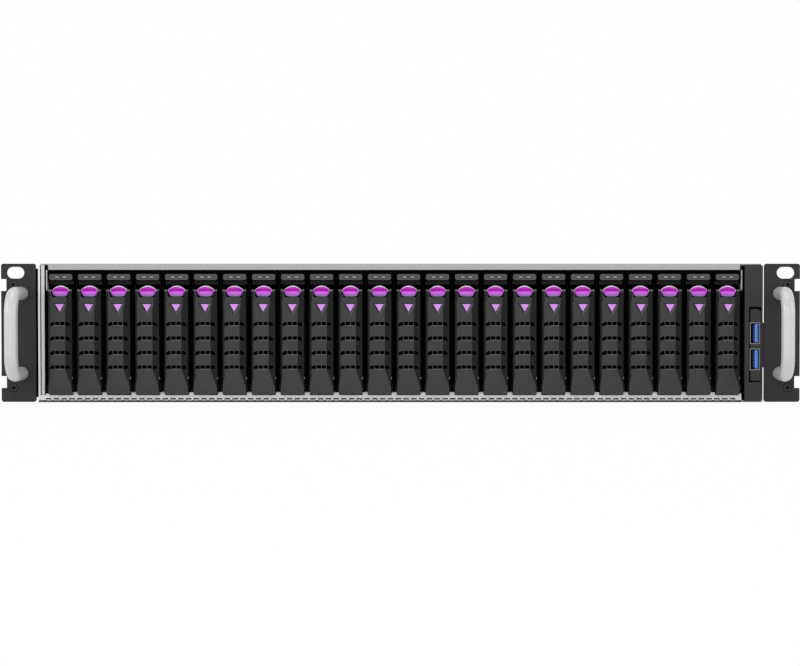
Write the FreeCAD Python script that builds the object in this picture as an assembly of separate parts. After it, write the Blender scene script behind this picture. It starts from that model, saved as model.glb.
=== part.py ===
"""Two-unit rackmount barebone server with a row of upright hot-swap drive bays.

Millimetres. X runs across the rack, the front faces -Y, Z is up.
Depths are measured rearwards from the front face of the rack ears while a piece is made,
and every finished piece is then shifted so that the origin lies under the middle of the whole.
"""
import FreeCAD, Part
import math
import os

# Drive bays across the front
BAY_COUNT = 24
BAY_PITCH = 17.5
LEFT_PILLAR = 5.1
RIGHT_PILLAR = 12.9
JOINTED_BAYS = 4

# Rack ears
EAR_WIDTH = 22.3
EAR_THICKNESS = 2.0
EAR_LIFT = 0.2
EAR_CORNER = 1.5
EAR_FLANGE = 1.2
EAR_FLANGE_LENGTH = 48.0
EAR_AIR_GAP = 0.6
EAR_SHADOW_GAP = 1.4
EAR_TAB_HEIGHT = 27.0
EAR_TAB_Z = 34.5
SLOT_EDGE = 8.75
SLOT_LENGTH = 10.6
SLOT_HEIGHT = 7.0
SLOT_DROP = 5.5
EDGE_NOTCH = 3.2
LOW_NOTCH_Z = 8.6
NOTCH_HEIGHT = 7.2
HIGH_NOTCH_DROP = 9.3

# Ear handles
HANDLE_ROD = 8.0
HANDLE_OFFSET = 10.0
HANDLE_SPAN = 48.3
HANDLE_LOW_Z = 17.5
HANDLE_STANDOFF = 31.6
HANDLE_BEND = 12.0
SCREW_HEAD_R = 2.45
SCREW_HEAD_PROUD = 0.4
SCREW_FACETS = 12
SCREW_OUTSET = 4.9
SCREW_LOW_Z = 7.2
SCREW_HIGH_DROP = 12.6

# Sheet metal and the height stack
SHEET = 1.2
CAGE_SHEET = 1.0
COVER_SHEET = 1.0
FLOOR_GAP = 2.4
TOP_GAP = 2.4
SLIDE_CLEAR = 0.4
RUN_CLEAR = 0.3
DIVIDER = 0.5
LIP_SLOT_PITCH = 4.7
LIP_SLOT_LENGTH = 3.4
LIP_SLOT_HEIGHT = 1.6
LIP_SLOT_Z = 0.9
LIP_SLOT_INSET = 1.0
LIP_TAB_WIDTH = 2.4
LIP_TAB_RISE = 1.8
WALL_EDGE = 0.3
CAGE_SETBACK = 2.3
TOP_LIP_DROP = 3.8
PLATE_TONGUE = 8.0

# Drive carriers
CARRIER_HEIGHT = 74.0
CARRIER_DEPTH = 131.0
CARRIER_RAIL = 2.0
BEZEL_FRONT = -0.8
BEZEL_DEPTH = 8.8
KEEL_HEIGHT = 1.9
RECESS_DEPTH = 5.8
RECESS_HEIGHT = 10.8
LIGHT_BAR_WIDTH = 13.9
LIGHT_BAR_HEIGHT = 3.6
LIGHT_BAR_DEPTH = 1.4
LIGHT_BAR_DROP = 1.5
LIGHT_BAR_CORNER = 0.9
BLANK_DEPTH = 118.0

# Carrier levers
LEVER_WIDTH = 14.1
LEVER_HEIGHT = 63.1
LEVER_THICKNESS = 3.5
LEVER_BACK = -1.2
LEVER_NOSE_R = 4.0
LEVER_TOP_CHAMFER = 0.8
BEVEL_WIDTH = 3.8
BEVEL_DEPTH = 1.6
NARROW_BEVEL_WIDTH = 2.0
NARROW_BEVEL_DEPTH = 1.3
BEVEL_END_Z = 20.0
BEVEL_TAPER = 10.5
VENT_ROWS = 4
VENT_ROW_PITCH = 8.74
VENT_ROW_Z = 16.5
VENT_HEIGHT = 2.0
VENT_WIDTH = 11.7
VENT_DROOP = 0.8
MARK_WIDTH = 5.3
MARK_HEIGHT = 4.6
MARK_DROP = 8.6
MARK_DEPTH = 0.5
PIVOT_R = 1.1
PIVOT_CLEAR = 0.08
CHEEK_WIDTH = 0.85
CHEEK_HEIGHT = 4.5
CHEEK_REACH = 4.4

# Release buttons
BUTTON_WIDTH = 10.0
BUTTON_FOOT_WIDTH = 8.4
BUTTON_HEIGHT = 6.6
BUTTON_ARCH = 2.4
BUTTON_RISE = 2.4
BUTTON_SUNK = 2.6
BUTTON_LIP = 0.5
BUTTON_SCOOP = 2.2
BUTTON_TRAVEL = 2.0

# Front I/O panel and its two ports
PANEL_FRONT = -1.0
PANEL_THICKNESS = 3.0
PANEL_CORNER = 1.2
PANEL_GAP = 1.4
MODULE_WIDTH = 7.3
MODULE_HEIGHT = 45.6
MODULE_Z = 12.2
MODULE_RECESS = 1.0
MODULE_EDGE = 1.0
HOUSING_DEPTH = 30.0
PORT_WIDTH = 6.1
PORT_HEIGHT = 13.1
PORT_PITCH = 15.8
PORT_LOW_Z = 26.0
PORT_DEPTH = 16.0
PORT_SHELL = 0.5
PORT_PROUD = 0.5
PORT_TONGUE = 1.9
PORT_FIT = 0.1

# Depth stack behind the bays
CONNECTOR_DEPTH = 9.0
CONNECTOR_WIDTH = 5.0
CONNECTOR_HEIGHT = 42.0
BOARD_SHEET = 1.6
CABLE_SPACE = 40.0
FAN_COUNT = 4
FAN_DEPTH = 38.0
FAN_FRAME_WALL = 2.0
FAN_CLEAR = 0.8
FAN_PITCH = 104.0
FAN_HUB_R = 15.0
FAN_HUB_DEPTH = 24.0
FAN_TIP_CLEAR = 1.0
FAN_BLADES = 7
FAN_BLADE_THICK = 1.4
FAN_BLADE_CHORD = 16.0
FAN_BLADE_LEAN = 11.0
FAN_STRUT = 3.0
FAN_BASE_SIDES = 8
FAN_BASE_DEPTH = 5.0
BOARD_GAP = 60.0
BOARD_DEPTH = 375.0
BOARD_STANDOFF = 6.0
REAR_GAP = 1.0

# Power supplies
PSU_WIDTH = 73.5
PSU_LENGTH = 185.0
PSU_CLEAR = 0.5
PSU_SHELF = 1.2
PSU_WALL = 1.0
PSU_SIDE_GAP = 1.6
PSU_HANDLE_REACH = 26.0
PSU_HANDLE_BAR = 4.0
PSU_HANDLE_WIDTH = 30.0
PSU_HANDLE_CORNER = 2.4
INLET_WIDTH = 25.0
INLET_HEIGHT = 17.0
INLET_DEPTH = 14.0
INLET_RIM = 2.5
LATCH_WIDTH = 6.0
LATCH_HEIGHT = 14.0
LATCH_REACH = 14.0
LATCH_THICKNESS = 2.5
LATCH_POCKET = 10.0

# Main board furniture
HEATSINK_WIDTH = 78.0
HEATSINK_DEPTH = 106.0
HEATSINK_FINS = 12
HEATSINK_FIN = 1.2
HEATSINK_BASE = 6.0
SOCKET_HEIGHT = 6.0
SINK_TOP_CLEAR = 16.0
DIMM_LENGTH = 142.0
DIMM_WIDTH = 6.4
DIMM_PITCH = 9.6
DIMM_HEIGHT = 9.0
DIMM_BANK = 4
DIMM_GAP = 7.2
DIMM_SHIFT = 19.2
SINK_SHARES = (0.27, 0.73)
SHROUD_WALL = 1.2
SHROUD_TOP_CLEAR = 6.0
CARD_SLOTS = 6
CARD_PITCH = 20.32
CARD_SLOT_WIDTH = 13.0
CARD_SLOT_HEIGHT = 58.0
CARD_SLOT_DROP = 8.0
CARD_EDGE = 14.0
CARD_SOCKET_LENGTH = 89.0
CARD_SOCKET_WIDTH = 7.5
CARD_SOCKET_HEIGHT = 11.0
COVER_PLATE_WIDTH = 18.4
PORTS_WIDTH = 158.8
PORTS_HEIGHT = 40.0
PORT_BLOCK_DEPTH = 20.0
USB_STACK_WIDTH = 15.0
USB_STACK_HEIGHT = 27.0
NET_STACK_WIDTH = 16.0
NET_STACK_HEIGHT = 29.0
SCREEN_PORT_WIDTH = 31.0
SCREEN_PORT_HEIGHT = 12.5
SERVICE_PORT_WIDTH = 18.0
SERVICE_PORT_HEIGHT = 13.5
REAR_VENTS = 10
REAR_VENT_WIDTH = 3.0
REAR_VENT_HEIGHT = 16.0
REAR_VENT_PITCH = 12.0
COVER_FLANGE = 9.0
THUMBSCREW_R = 5.0
THUMBSCREW_LENGTH = 9.0

# Widths across the rack, worked out from the bays
BLOCK_WIDTH = BAY_COUNT * BAY_PITCH
CHASSIS_WIDTH = LEFT_PILLAR + BLOCK_WIDTH + RIGHT_PILLAR
HALF = CHASSIS_WIDTH / 2
INNER = HALF - SHEET
BLOCK_LEFT = -HALF + LEFT_PILLAR
BLOCK_RIGHT = BLOCK_LEFT + BLOCK_WIDTH
CARRIER_WIDTH = BAY_PITCH - DIVIDER - 2 * RUN_CLEAR

# Heights, worked out from the stack
CAGE_FLOOR = SHEET + FLOOR_GAP + CAGE_SHEET
CARRIER_Z = CAGE_FLOOR + SLIDE_CLEAR
CARRIER_TOP = CARRIER_Z + CARRIER_HEIGHT
CAGE_CEILING = CARRIER_TOP + SLIDE_CLEAR
CHASSIS_HEIGHT = CAGE_CEILING + CAGE_SHEET + TOP_GAP + COVER_SHEET
WALL_TOP = CHASSIS_HEIGHT - COVER_SHEET
LIP_TOP = CAGE_FLOOR - RUN_CLEAR
LEVER_TOP = CARRIER_Z + LEVER_HEIGHT
LEVER_FRONT = LEVER_BACK - LEVER_THICKNESS
PIVOT_Z = CARRIER_Z + LEVER_NOSE_R
PIVOT_D = LEVER_BACK - LEVER_THICKNESS / 2
BUTTON_Z = LEVER_TOP + BUTTON_RISE - BUTTON_HEIGHT

# Depths, worked out from the stack
CARRIER_REAR = BEZEL_FRONT + CARRIER_DEPTH
BACKPLANE_D = CARRIER_REAR + CONNECTOR_DEPTH + SLIDE_CLEAR
CAGE_REAR = BACKPLANE_D - RUN_CLEAR
FAN_D = BACKPLANE_D + BOARD_SHEET + CABLE_SPACE
BOARD_D = FAN_D + FAN_DEPTH + BOARD_GAP
REAR_D = BOARD_D + BOARD_DEPTH + REAR_GAP
CHASSIS_DEPTH = REAR_D + SHEET
COVER_D = BACKPLANE_D + CABLE_SPACE / 2
FAN_SIZE = WALL_TOP - SHEET - 2 * FAN_CLEAR
FAN_AXIS_Z = SHEET + FAN_CLEAR + FAN_SIZE / 2
FAN_BORE_R = FAN_SIZE / 2 - FAN_FRAME_WALL

# Power supply places
PSU_CAGE_LEFT = -INNER + PSU_SIDE_GAP
PSU_LEFT = PSU_CAGE_LEFT + PSU_WALL + PSU_CLEAR
PSU_RIGHT = PSU_LEFT + PSU_WIDTH
PSU_CAGE_RIGHT = PSU_RIGHT + PSU_CLEAR + PSU_WALL
PSU_HEIGHT = (WALL_TOP - SHEET - PSU_SHELF - 4 * PSU_CLEAR) / 2
PSU_REAR = CHASSIS_DEPTH
PSU_FRONT = PSU_REAR - PSU_LENGTH

# Board places
BOARD_LEFT = PSU_CAGE_RIGHT + BOARD_STANDOFF
BOARD_RIGHT = INNER - BOARD_STANDOFF
BOARD_Z = SHEET + BOARD_STANDOFF
BOARD_TOP = BOARD_Z + BOARD_SHEET

HANDLE_REACH = HANDLE_STANDOFF + HANDLE_ROD / 2
OVERALL_DEPTH = HANDLE_REACH + CHASSIS_DEPTH + PSU_HANDLE_REACH
EAR_FACE_Y = HANDLE_REACH - OVERALL_DEPTH / 2


def slab(x0, x1, d0, d1, z0, z1):
    """Box between two corners, in across, depth and height."""
    return Part.makeBox(x1 - x0, d1 - d0, z1 - z0, FreeCAD.Vector(x0, d0, z0))


def face_of(points):
    """Flat face inside a closed polygon."""
    return Part.Face(Part.makePolygon(points + points[:1]))


def prism_x(outline, x0, x1):
    """Side outline of (depth, height) points, drawn out across."""
    points = [FreeCAD.Vector(x0, d, z) for d, z in outline]
    return face_of(points).extrude(FreeCAD.Vector(x1 - x0, 0, 0))


def prism_y(outline, d0, d1):
    """Front outline of (across, height) points, drawn out in depth."""
    points = [FreeCAD.Vector(x, d0, z) for x, z in outline]
    return face_of(points).extrude(FreeCAD.Vector(0, d1 - d0, 0))


def prism_z(outline, z0, z1):
    """Plan outline of (across, depth) points, drawn out in height."""
    points = [FreeCAD.Vector(x, d, z0) for x, d in outline]
    return face_of(points).extrude(FreeCAD.Vector(0, 0, z1 - z0))


def disc_y(x, z, radius, d0, d1):
    """Round bar along the depth."""
    return Part.makeCylinder(radius, d1 - d0, FreeCAD.Vector(x, d0, z), FreeCAD.Vector(0, 1, 0))


def facet_bar(x, z, radius, sides, d0, d1):
    """Bar along the depth with flat sides, for small round heads and hubs."""
    turns = [2 * math.pi * (number + 0.5) / sides for number in range(sides)]
    return prism_y([(x + radius * math.sin(turn), z + radius * math.cos(turn)) for turn in turns], d0, d1)


def tetrahedron(a, b, c, d):
    """Solid with four corners."""
    faces = [face_of([a, b, c]), face_of([a, b, d]), face_of([b, c, d]), face_of([a, c, d])]
    return Part.Solid(Part.makeShell(faces))


def joined(shapes):
    """One solid from touching or overlapping solids."""
    return shapes[0].multiFuse(shapes[1:]).removeSplitter()


def without(shape, cutters):
    """Shape with every cutter taken out."""
    return shape.cut(Part.makeCompound(cutters))


def save(name, solids):
    """Write one named piece, shifted from depths to the part's own frame."""
    piece = solids[0] if len(solids) == 1 else Part.makeCompound(solids)
    piece = piece.copy()
    piece.translate(FreeCAD.Vector(0, EAR_FACE_Y, 0))
    piece.exportStep(os.path.join("parts", name + ".step"))


def bay_centre(index):
    """Middle of a bay across the rack."""
    return BLOCK_LEFT + (index + 0.5) * BAY_PITCH


def moved_across(solids, x):
    """Copies of solids made on the centre line, moved across."""
    copies = []
    for solid in solids:
        copy = solid.copy()
        copy.translate(FreeCAD.Vector(x, 0, 0))
        copies.append(copy)
    return copies


def make_chassis_tray():
    """Floor, side walls and the slotted front lip, folded from one sheet."""
    lip = slab(-HALF, BLOCK_RIGHT, WALL_EDGE, WALL_EDGE + SHEET, 0, LIP_TOP)
    slots = []
    count = int((BLOCK_WIDTH - LIP_SLOT_INSET - LIP_SLOT_LENGTH / 2) / LIP_SLOT_PITCH) + 1
    first = BLOCK_LEFT + LIP_SLOT_INSET
    for number in range(count):
        x = first + number * LIP_SLOT_PITCH
        slots.append(slab(x - LIP_SLOT_LENGTH / 2, x + LIP_SLOT_LENGTH / 2, 0, WALL_EDGE + 2 * SHEET,
                          LIP_SLOT_Z, LIP_SLOT_Z + LIP_SLOT_HEIGHT))
    lip = without(lip, slots)
    tabs = []
    for index in range(1, BAY_COUNT):
        x = BLOCK_LEFT + index * BAY_PITCH
        tabs.append(slab(x - LIP_TAB_WIDTH / 2, x + LIP_TAB_WIDTH / 2, WALL_EDGE, WALL_EDGE + SHEET,
                         LIP_TOP, LIP_TOP + LIP_TAB_RISE))
    floor = slab(-HALF, HALF, CAGE_SETBACK, CHASSIS_DEPTH, 0, SHEET)
    apron = slab(-HALF, BLOCK_RIGHT, WALL_EDGE + SHEET, CAGE_SETBACK, 0, SHEET)
    left = slab(-HALF, -INNER, WALL_EDGE, CHASSIS_DEPTH, 0, WALL_TOP)
    right = slab(INNER, HALF, CAGE_SETBACK, CHASSIS_DEPTH, 0, WALL_TOP)
    return [joined([floor, apron, left, right, lip] + tabs)]


def make_rear_panel():
    """Rear sheet with the supply bay, port opening, card slots and vents."""
    panel = slab(-INNER, INNER, REAR_D, CHASSIS_DEPTH, SHEET, WALL_TOP)
    cutters = [slab(PSU_CAGE_LEFT, PSU_CAGE_RIGHT, REAR_D, CHASSIS_DEPTH, SHEET, WALL_TOP - PSU_SHELF)]
    ports_left = BOARD_LEFT + BOARD_STANDOFF
    cutters.append(slab(ports_left, ports_left + PORTS_WIDTH, REAR_D, CHASSIS_DEPTH,
                        BOARD_TOP, BOARD_TOP + PORTS_HEIGHT))
    vent_z = BOARD_TOP + PORTS_HEIGHT + REAR_VENT_WIDTH * 2
    for number in range(REAR_VENTS):
        x = ports_left + REAR_VENT_PITCH * (number + 1)
        cutters.append(slab(x, x + REAR_VENT_WIDTH, REAR_D, CHASSIS_DEPTH,
                            vent_z, vent_z + REAR_VENT_HEIGHT))
    for x in card_centres():
        cutters.append(slab(x - CARD_SLOT_WIDTH / 2, x + CARD_SLOT_WIDTH / 2, REAR_D, CHASSIS_DEPTH,
                            card_top() - CARD_SLOT_HEIGHT, card_top()))
    return [without(panel, cutters)]


def card_centres():
    """Middles of the card slots across the rear."""
    return [BOARD_RIGHT - CARD_EDGE - number * CARD_PITCH for number in range(CARD_SLOTS)]


def card_top():
    """Upper edge of the card slots."""
    return WALL_TOP - CARD_SLOT_DROP


def make_front_top_plate():
    """Fixed plate over the cage, with the bright lip folded down in front of the bays."""
    main = slab(-HALF, HALF, PLATE_TONGUE, COVER_D - RUN_CLEAR, WALL_TOP, CHASSIS_HEIGHT)
    left = BLOCK_LEFT + COVER_SHEET
    right = BLOCK_RIGHT - COVER_SHEET
    tongue = slab(left, right, WALL_EDGE, PLATE_TONGUE, WALL_TOP, CHASSIS_HEIGHT)
    lip = slab(left, right, WALL_EDGE, WALL_EDGE + COVER_SHEET, CHASSIS_HEIGHT - TOP_LIP_DROP, WALL_TOP)
    return [joined([main, tongue, lip])]


def make_top_cover():
    """Lift-off cover with two side flanges that drop inside the walls."""
    top = slab(-HALF, HALF, COVER_D, CHASSIS_DEPTH, WALL_TOP, CHASSIS_HEIGHT)
    pieces = [top]
    for side in (-1, 1):
        edge = side * (INNER - RUN_CLEAR)
        inner = edge - side * COVER_SHEET
        pieces.append(slab(min(edge, inner), max(edge, inner), COVER_D, PSU_FRONT - PSU_SIDE_GAP,
                           WALL_TOP - COVER_FLANGE, WALL_TOP))
    return [joined(pieces)]


def make_drive_cage():
    """Cage sheets and the divider between each two bays."""
    left = BLOCK_LEFT - RUN_CLEAR - CAGE_SHEET
    right = BLOCK_RIGHT + RUN_CLEAR + CAGE_SHEET
    inner_left = left + CAGE_SHEET
    inner_right = right - CAGE_SHEET
    floor = slab(inner_left, inner_right, CAGE_SETBACK, CAGE_REAR, CAGE_FLOOR - CAGE_SHEET, CAGE_FLOOR)
    ceiling = slab(inner_left, inner_right, CAGE_SETBACK, CAGE_REAR, CAGE_CEILING, CAGE_CEILING + CAGE_SHEET)
    left_wall = slab(left, inner_left, CAGE_SETBACK, CAGE_REAR, SHEET, WALL_TOP)
    right_wall = slab(inner_right, right, CAGE_SETBACK, CAGE_REAR, SHEET, WALL_TOP)
    flange_left = -INNER + RUN_CLEAR + SLIDE_CLEAR
    flange_foot = LIP_TOP + RUN_CLEAR
    joggle = CAGE_SETBACK + CAGE_SHEET
    flange = slab(flange_left, left, WALL_EDGE, WALL_EDGE + CAGE_SHEET, flange_foot, WALL_TOP)
    web = slab(left - CAGE_SHEET, left, WALL_EDGE, joggle, flange_foot, WALL_TOP)
    step = slab(left - CAGE_SHEET, inner_left, CAGE_SETBACK, joggle, flange_foot, WALL_TOP)
    solids = [floor, ceiling, joined([left_wall, flange, web, step]), right_wall]
    for index in range(1, BAY_COUNT):
        x = BLOCK_LEFT + index * BAY_PITCH
        solids.append(slab(x - DIVIDER / 2, x + DIVIDER / 2, CAGE_SETBACK, CAGE_REAR,
                           CAGE_FLOOR, CAGE_CEILING))
    return solids


def make_drive_backplane():
    """Upright board behind the cage, pierced for air, with one connector per bay."""
    board = slab(BLOCK_LEFT, BLOCK_RIGHT, BACKPLANE_D, BACKPLANE_D + BOARD_SHEET, SHEET, CAGE_CEILING)
    middle = (CARRIER_Z + CARRIER_TOP) / 2
    windows = []
    for index in range(1, BAY_COUNT, 2):
        x = BLOCK_LEFT + index * BAY_PITCH
        half = (BAY_PITCH - CONNECTOR_WIDTH) / 2 - SLIDE_CLEAR
        windows.append(slab(x - half, x + half, BACKPLANE_D, BACKPLANE_D + BOARD_SHEET,
                            middle - CONNECTOR_HEIGHT / 2, middle + CONNECTOR_HEIGHT / 2))
    solids = [without(board, windows)]
    for index in range(BAY_COUNT):
        x = bay_centre(index)
        solids.append(slab(x - CONNECTOR_WIDTH / 2, x + CONNECTOR_WIDTH / 2, BACKPLANE_D - CONNECTOR_DEPTH,
                           BACKPLANE_D, middle - CONNECTOR_HEIGHT / 2, middle + CONNECTOR_HEIGHT / 2))
    return solids


def make_carrier_frame(with_pivot):
    """Moulded carrier: bezel with air slots and latch recess, two rails, lever cheeks."""
    rear = BEZEL_FRONT + BEZEL_DEPTH
    relief = PIVOT_D + LEVER_NOSE_R + SLIDE_CLEAR
    recess_z = BUTTON_Z - RUN_CLEAR * 4
    recess_d = BEZEL_FRONT + RECESS_DEPTH
    header_z = recess_z + RECESS_HEIGHT
    header_d = BEZEL_FRONT + LIGHT_BAR_DEPTH
    step_z = PIVOT_Z + LEVER_NOSE_R
    outline = [
        (relief, CARRIER_Z), (CARRIER_REAR, CARRIER_Z), (CARRIER_REAR, CARRIER_Z + CARRIER_RAIL),
        (rear, CARRIER_Z + CARRIER_RAIL), (rear, CARRIER_TOP - CARRIER_RAIL),
        (CARRIER_REAR, CARRIER_TOP - CARRIER_RAIL), (CARRIER_REAR, CARRIER_TOP), (header_d, CARRIER_TOP),
        (header_d, header_z), (recess_d, header_z), (recess_d, recess_z), (BEZEL_FRONT, recess_z),
        (BEZEL_FRONT, step_z), (relief, step_z),
    ]
    frame = prism_x(outline, -CARRIER_WIDTH / 2, CARRIER_WIDTH / 2)
    cutters = []
    for side in (-1, 1):
        keel = [side * LEVER_WIDTH / 2, side * CARRIER_WIDTH / 2]
        cutters.append(slab(min(keel), max(keel), LEVER_FRONT, CARRIER_REAR,
                            CARRIER_Z, CARRIER_Z + KEEL_HEIGHT))
    cutters.append(slab(-VENT_WIDTH / 2, VENT_WIDTH / 2, BEZEL_FRONT, rear, vent_row_z(0) - VENT_HEIGHT,
                        vent_row_z(VENT_ROWS - 1) + VENT_HEIGHT))
    frame = without(frame, cutters)
    cheeks = []
    for side in (-1, 1):
        cheek = [side * CARRIER_WIDTH / 2, side * (CARRIER_WIDTH / 2 - CHEEK_WIDTH)]
        cheeks.append(slab(min(cheek), max(cheek), PIVOT_D + PIVOT_R - CHEEK_REACH / 2, relief + CHEEK_WIDTH,
                           PIVOT_Z - CHEEK_HEIGHT / 2 + SLIDE_CLEAR, PIVOT_Z + CHEEK_HEIGHT / 2))
    frame = joined([frame] + cheeks)
    if with_pivot:
        hole = pivot_bar(PIVOT_R + PIVOT_CLEAR, CARRIER_WIDTH / 2)
        frame = frame.cut(hole)
    return frame


def pivot_bar(radius, reach):
    """Round bar along the lever's hinge line."""
    start = FreeCAD.Vector(-reach, PIVOT_D, PIVOT_Z)
    return Part.makeCylinder(radius, 2 * reach, start, FreeCAD.Vector(1, 0, 0))


def make_light_bar():
    """Bar with clipped corners that carries the two activity lights."""
    half = LIGHT_BAR_WIDTH / 2
    top = CARRIER_TOP - LIGHT_BAR_DROP
    foot = top - LIGHT_BAR_HEIGHT
    cut = LIGHT_BAR_CORNER
    outline = [(-half + cut, foot), (half - cut, foot), (half, foot + cut), (half, top - cut),
               (half - cut, top), (-half + cut, top), (-half, top - cut), (-half, foot + cut)]
    return prism_y(outline, BEZEL_FRONT, BEZEL_FRONT + LIGHT_BAR_DEPTH)


def make_drive_blank():
    """Plain moulded filler in the place of a drive."""
    half = LEVER_WIDTH / 2
    start = BEZEL_FRONT + BEZEL_DEPTH
    return slab(-half, half, start, start + BLANK_DEPTH, CARRIER_Z + CARRIER_RAIL + RUN_CLEAR,
                CARRIER_TOP - CARRIER_RAIL - RUN_CLEAR)


def vent_row_z(row):
    """Middle height of a vent row, counted from the lowest."""
    return CARRIER_Z + VENT_ROW_Z + row * VENT_ROW_PITCH


def vent_cutter(row):
    """One vent row; the upper rows droop over the bevels, the lowest is straight."""
    top = vent_row_z(row) + VENT_HEIGHT / 2
    foot = vent_row_z(row) - VENT_HEIGHT / 2
    half = VENT_WIDTH / 2
    flat = LEVER_WIDTH / 2 - BEVEL_WIDTH
    if row == 0:
        return slab(-half, half, LEVER_FRONT, LEVER_BACK, foot, top)
    outline = [(-half, foot - VENT_DROOP), (-flat, foot), (flat, foot), (half, foot - VENT_DROOP),
               (half, top - VENT_DROOP), (flat, top), (-flat, top), (-half, top - VENT_DROOP)]
    return prism_y(outline, LEVER_FRONT, LEVER_BACK)


def make_lever(with_pivot):
    """Bevelled, vented front lever with a round heel and a notch for the button."""
    drop = math.sqrt(LEVER_NOSE_R ** 2 - (LEVER_THICKNESS / 2) ** 2)
    heel_front = FreeCAD.Vector(-LEVER_WIDTH / 2, LEVER_FRONT, PIVOT_Z - drop)
    heel_low = FreeCAD.Vector(-LEVER_WIDTH / 2, PIVOT_D, PIVOT_Z - LEVER_NOSE_R)
    heel_back = FreeCAD.Vector(-LEVER_WIDTH / 2, LEVER_BACK, PIVOT_Z - drop)
    upper = [FreeCAD.Vector(-LEVER_WIDTH / 2, LEVER_BACK, LEVER_TOP),
             FreeCAD.Vector(-LEVER_WIDTH / 2, LEVER_FRONT + LEVER_TOP_CHAMFER, LEVER_TOP),
             FreeCAD.Vector(-LEVER_WIDTH / 2, LEVER_FRONT, LEVER_TOP - LEVER_TOP_CHAMFER)]
    heel = Part.Arc(heel_front, heel_low, heel_back).toShape()
    rest = Part.makePolygon([heel_back] + upper + [heel_front])
    side = Part.Face(Part.Wire([heel] + rest.Edges))
    lever = side.extrude(FreeCAD.Vector(LEVER_WIDTH, 0, 0))
    cutters = [vent_cutter(row) for row in range(VENT_ROWS)]
    half = LEVER_WIDTH / 2
    bevels = [(-1, NARROW_BEVEL_WIDTH, NARROW_BEVEL_DEPTH), (1, BEVEL_WIDTH, BEVEL_DEPTH)]
    for sign, bevel_width, bevel_depth in bevels:
        flat = FreeCAD.Vector(sign * (half - bevel_width), LEVER_FRONT, BEVEL_END_Z)
        deep = FreeCAD.Vector(sign * half, LEVER_FRONT + bevel_depth, BEVEL_END_Z)
        corner = FreeCAD.Vector(sign * half, LEVER_FRONT, BEVEL_END_Z)
        foot = FreeCAD.Vector(sign * half, LEVER_FRONT, BEVEL_END_Z - BEVEL_TAPER)
        up = FreeCAD.Vector(0, 0, LEVER_TOP - BEVEL_END_Z)
        cutters.append(face_of([flat, deep, corner]).extrude(up))
        cutters.append(tetrahedron(flat, deep, corner, foot))
    notch = BUTTON_WIDTH / 2 + RUN_CLEAR
    cutters.append(slab(-notch, notch, LEVER_FRONT, LEVER_BACK, BUTTON_Z - RUN_CLEAR, LEVER_TOP))
    mark_top = LEVER_TOP - MARK_DROP
    mark = [(-MARK_WIDTH / 2, mark_top), (MARK_WIDTH / 2, mark_top), (0, mark_top - MARK_HEIGHT)]
    cutters.append(prism_y(mark, LEVER_FRONT, LEVER_FRONT + MARK_DEPTH))
    for cutter in cutters:
        lever = lever.cut(cutter)
    if with_pivot:
        lever = joined([lever, pivot_bar(PIVOT_R, CARRIER_WIDTH / 2 - RUN_CLEAR)])
    return lever


def make_button():
    """Arched thumb latch with a scooped face, cut from its front and side outlines."""
    top = BUTTON_Z + BUTTON_HEIGHT
    shoulder = top - BUTTON_ARCH
    front = LEVER_FRONT + BUTTON_SUNK
    back = BEZEL_FRONT + RECESS_DEPTH - BUTTON_TRAVEL - RUN_CLEAR
    half = BUTTON_WIDTH / 2
    left = FreeCAD.Vector(-half, front, shoulder)
    right = FreeCAD.Vector(half, front, shoulder)
    arch = Part.Arc(right, FreeCAD.Vector(0, front, top), left).toShape()
    foot_left = FreeCAD.Vector(-BUTTON_FOOT_WIDTH / 2, front, BUTTON_Z)
    foot_right = FreeCAD.Vector(BUTTON_FOOT_WIDTH / 2, front, BUTTON_Z)
    sides = Part.makePolygon([left, foot_left, foot_right, right])
    block = Part.Face(Part.Wire([arch] + sides.Edges)).extrude(FreeCAD.Vector(0, back - front, 0))
    scoop = [(front, shoulder - BUTTON_SCOOP), (front + BUTTON_SCOOP, shoulder),
             (front + BUTTON_LIP, top), (front, top)]
    return block.cut(prism_x(scoop, -half, half))


def corner_edges(plate):
    """The four edges through a plate at the corners of its bounding box."""
    box = plate.BoundBox
    edges = []
    for edge in plate.Edges:
        first, last = edge.Vertexes[0].Point, edge.Vertexes[-1].Point
        through = abs(first.x - last.x) + abs(first.z - last.z) < RUN_CLEAR
        across = min(abs(first.x - box.XMin), abs(first.x - box.XMax))
        up = min(abs(first.z - box.ZMin), abs(first.z - box.ZMax))
        if through and across + up < RUN_CLEAR:
            edges.append(edge)
    return edges


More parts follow.
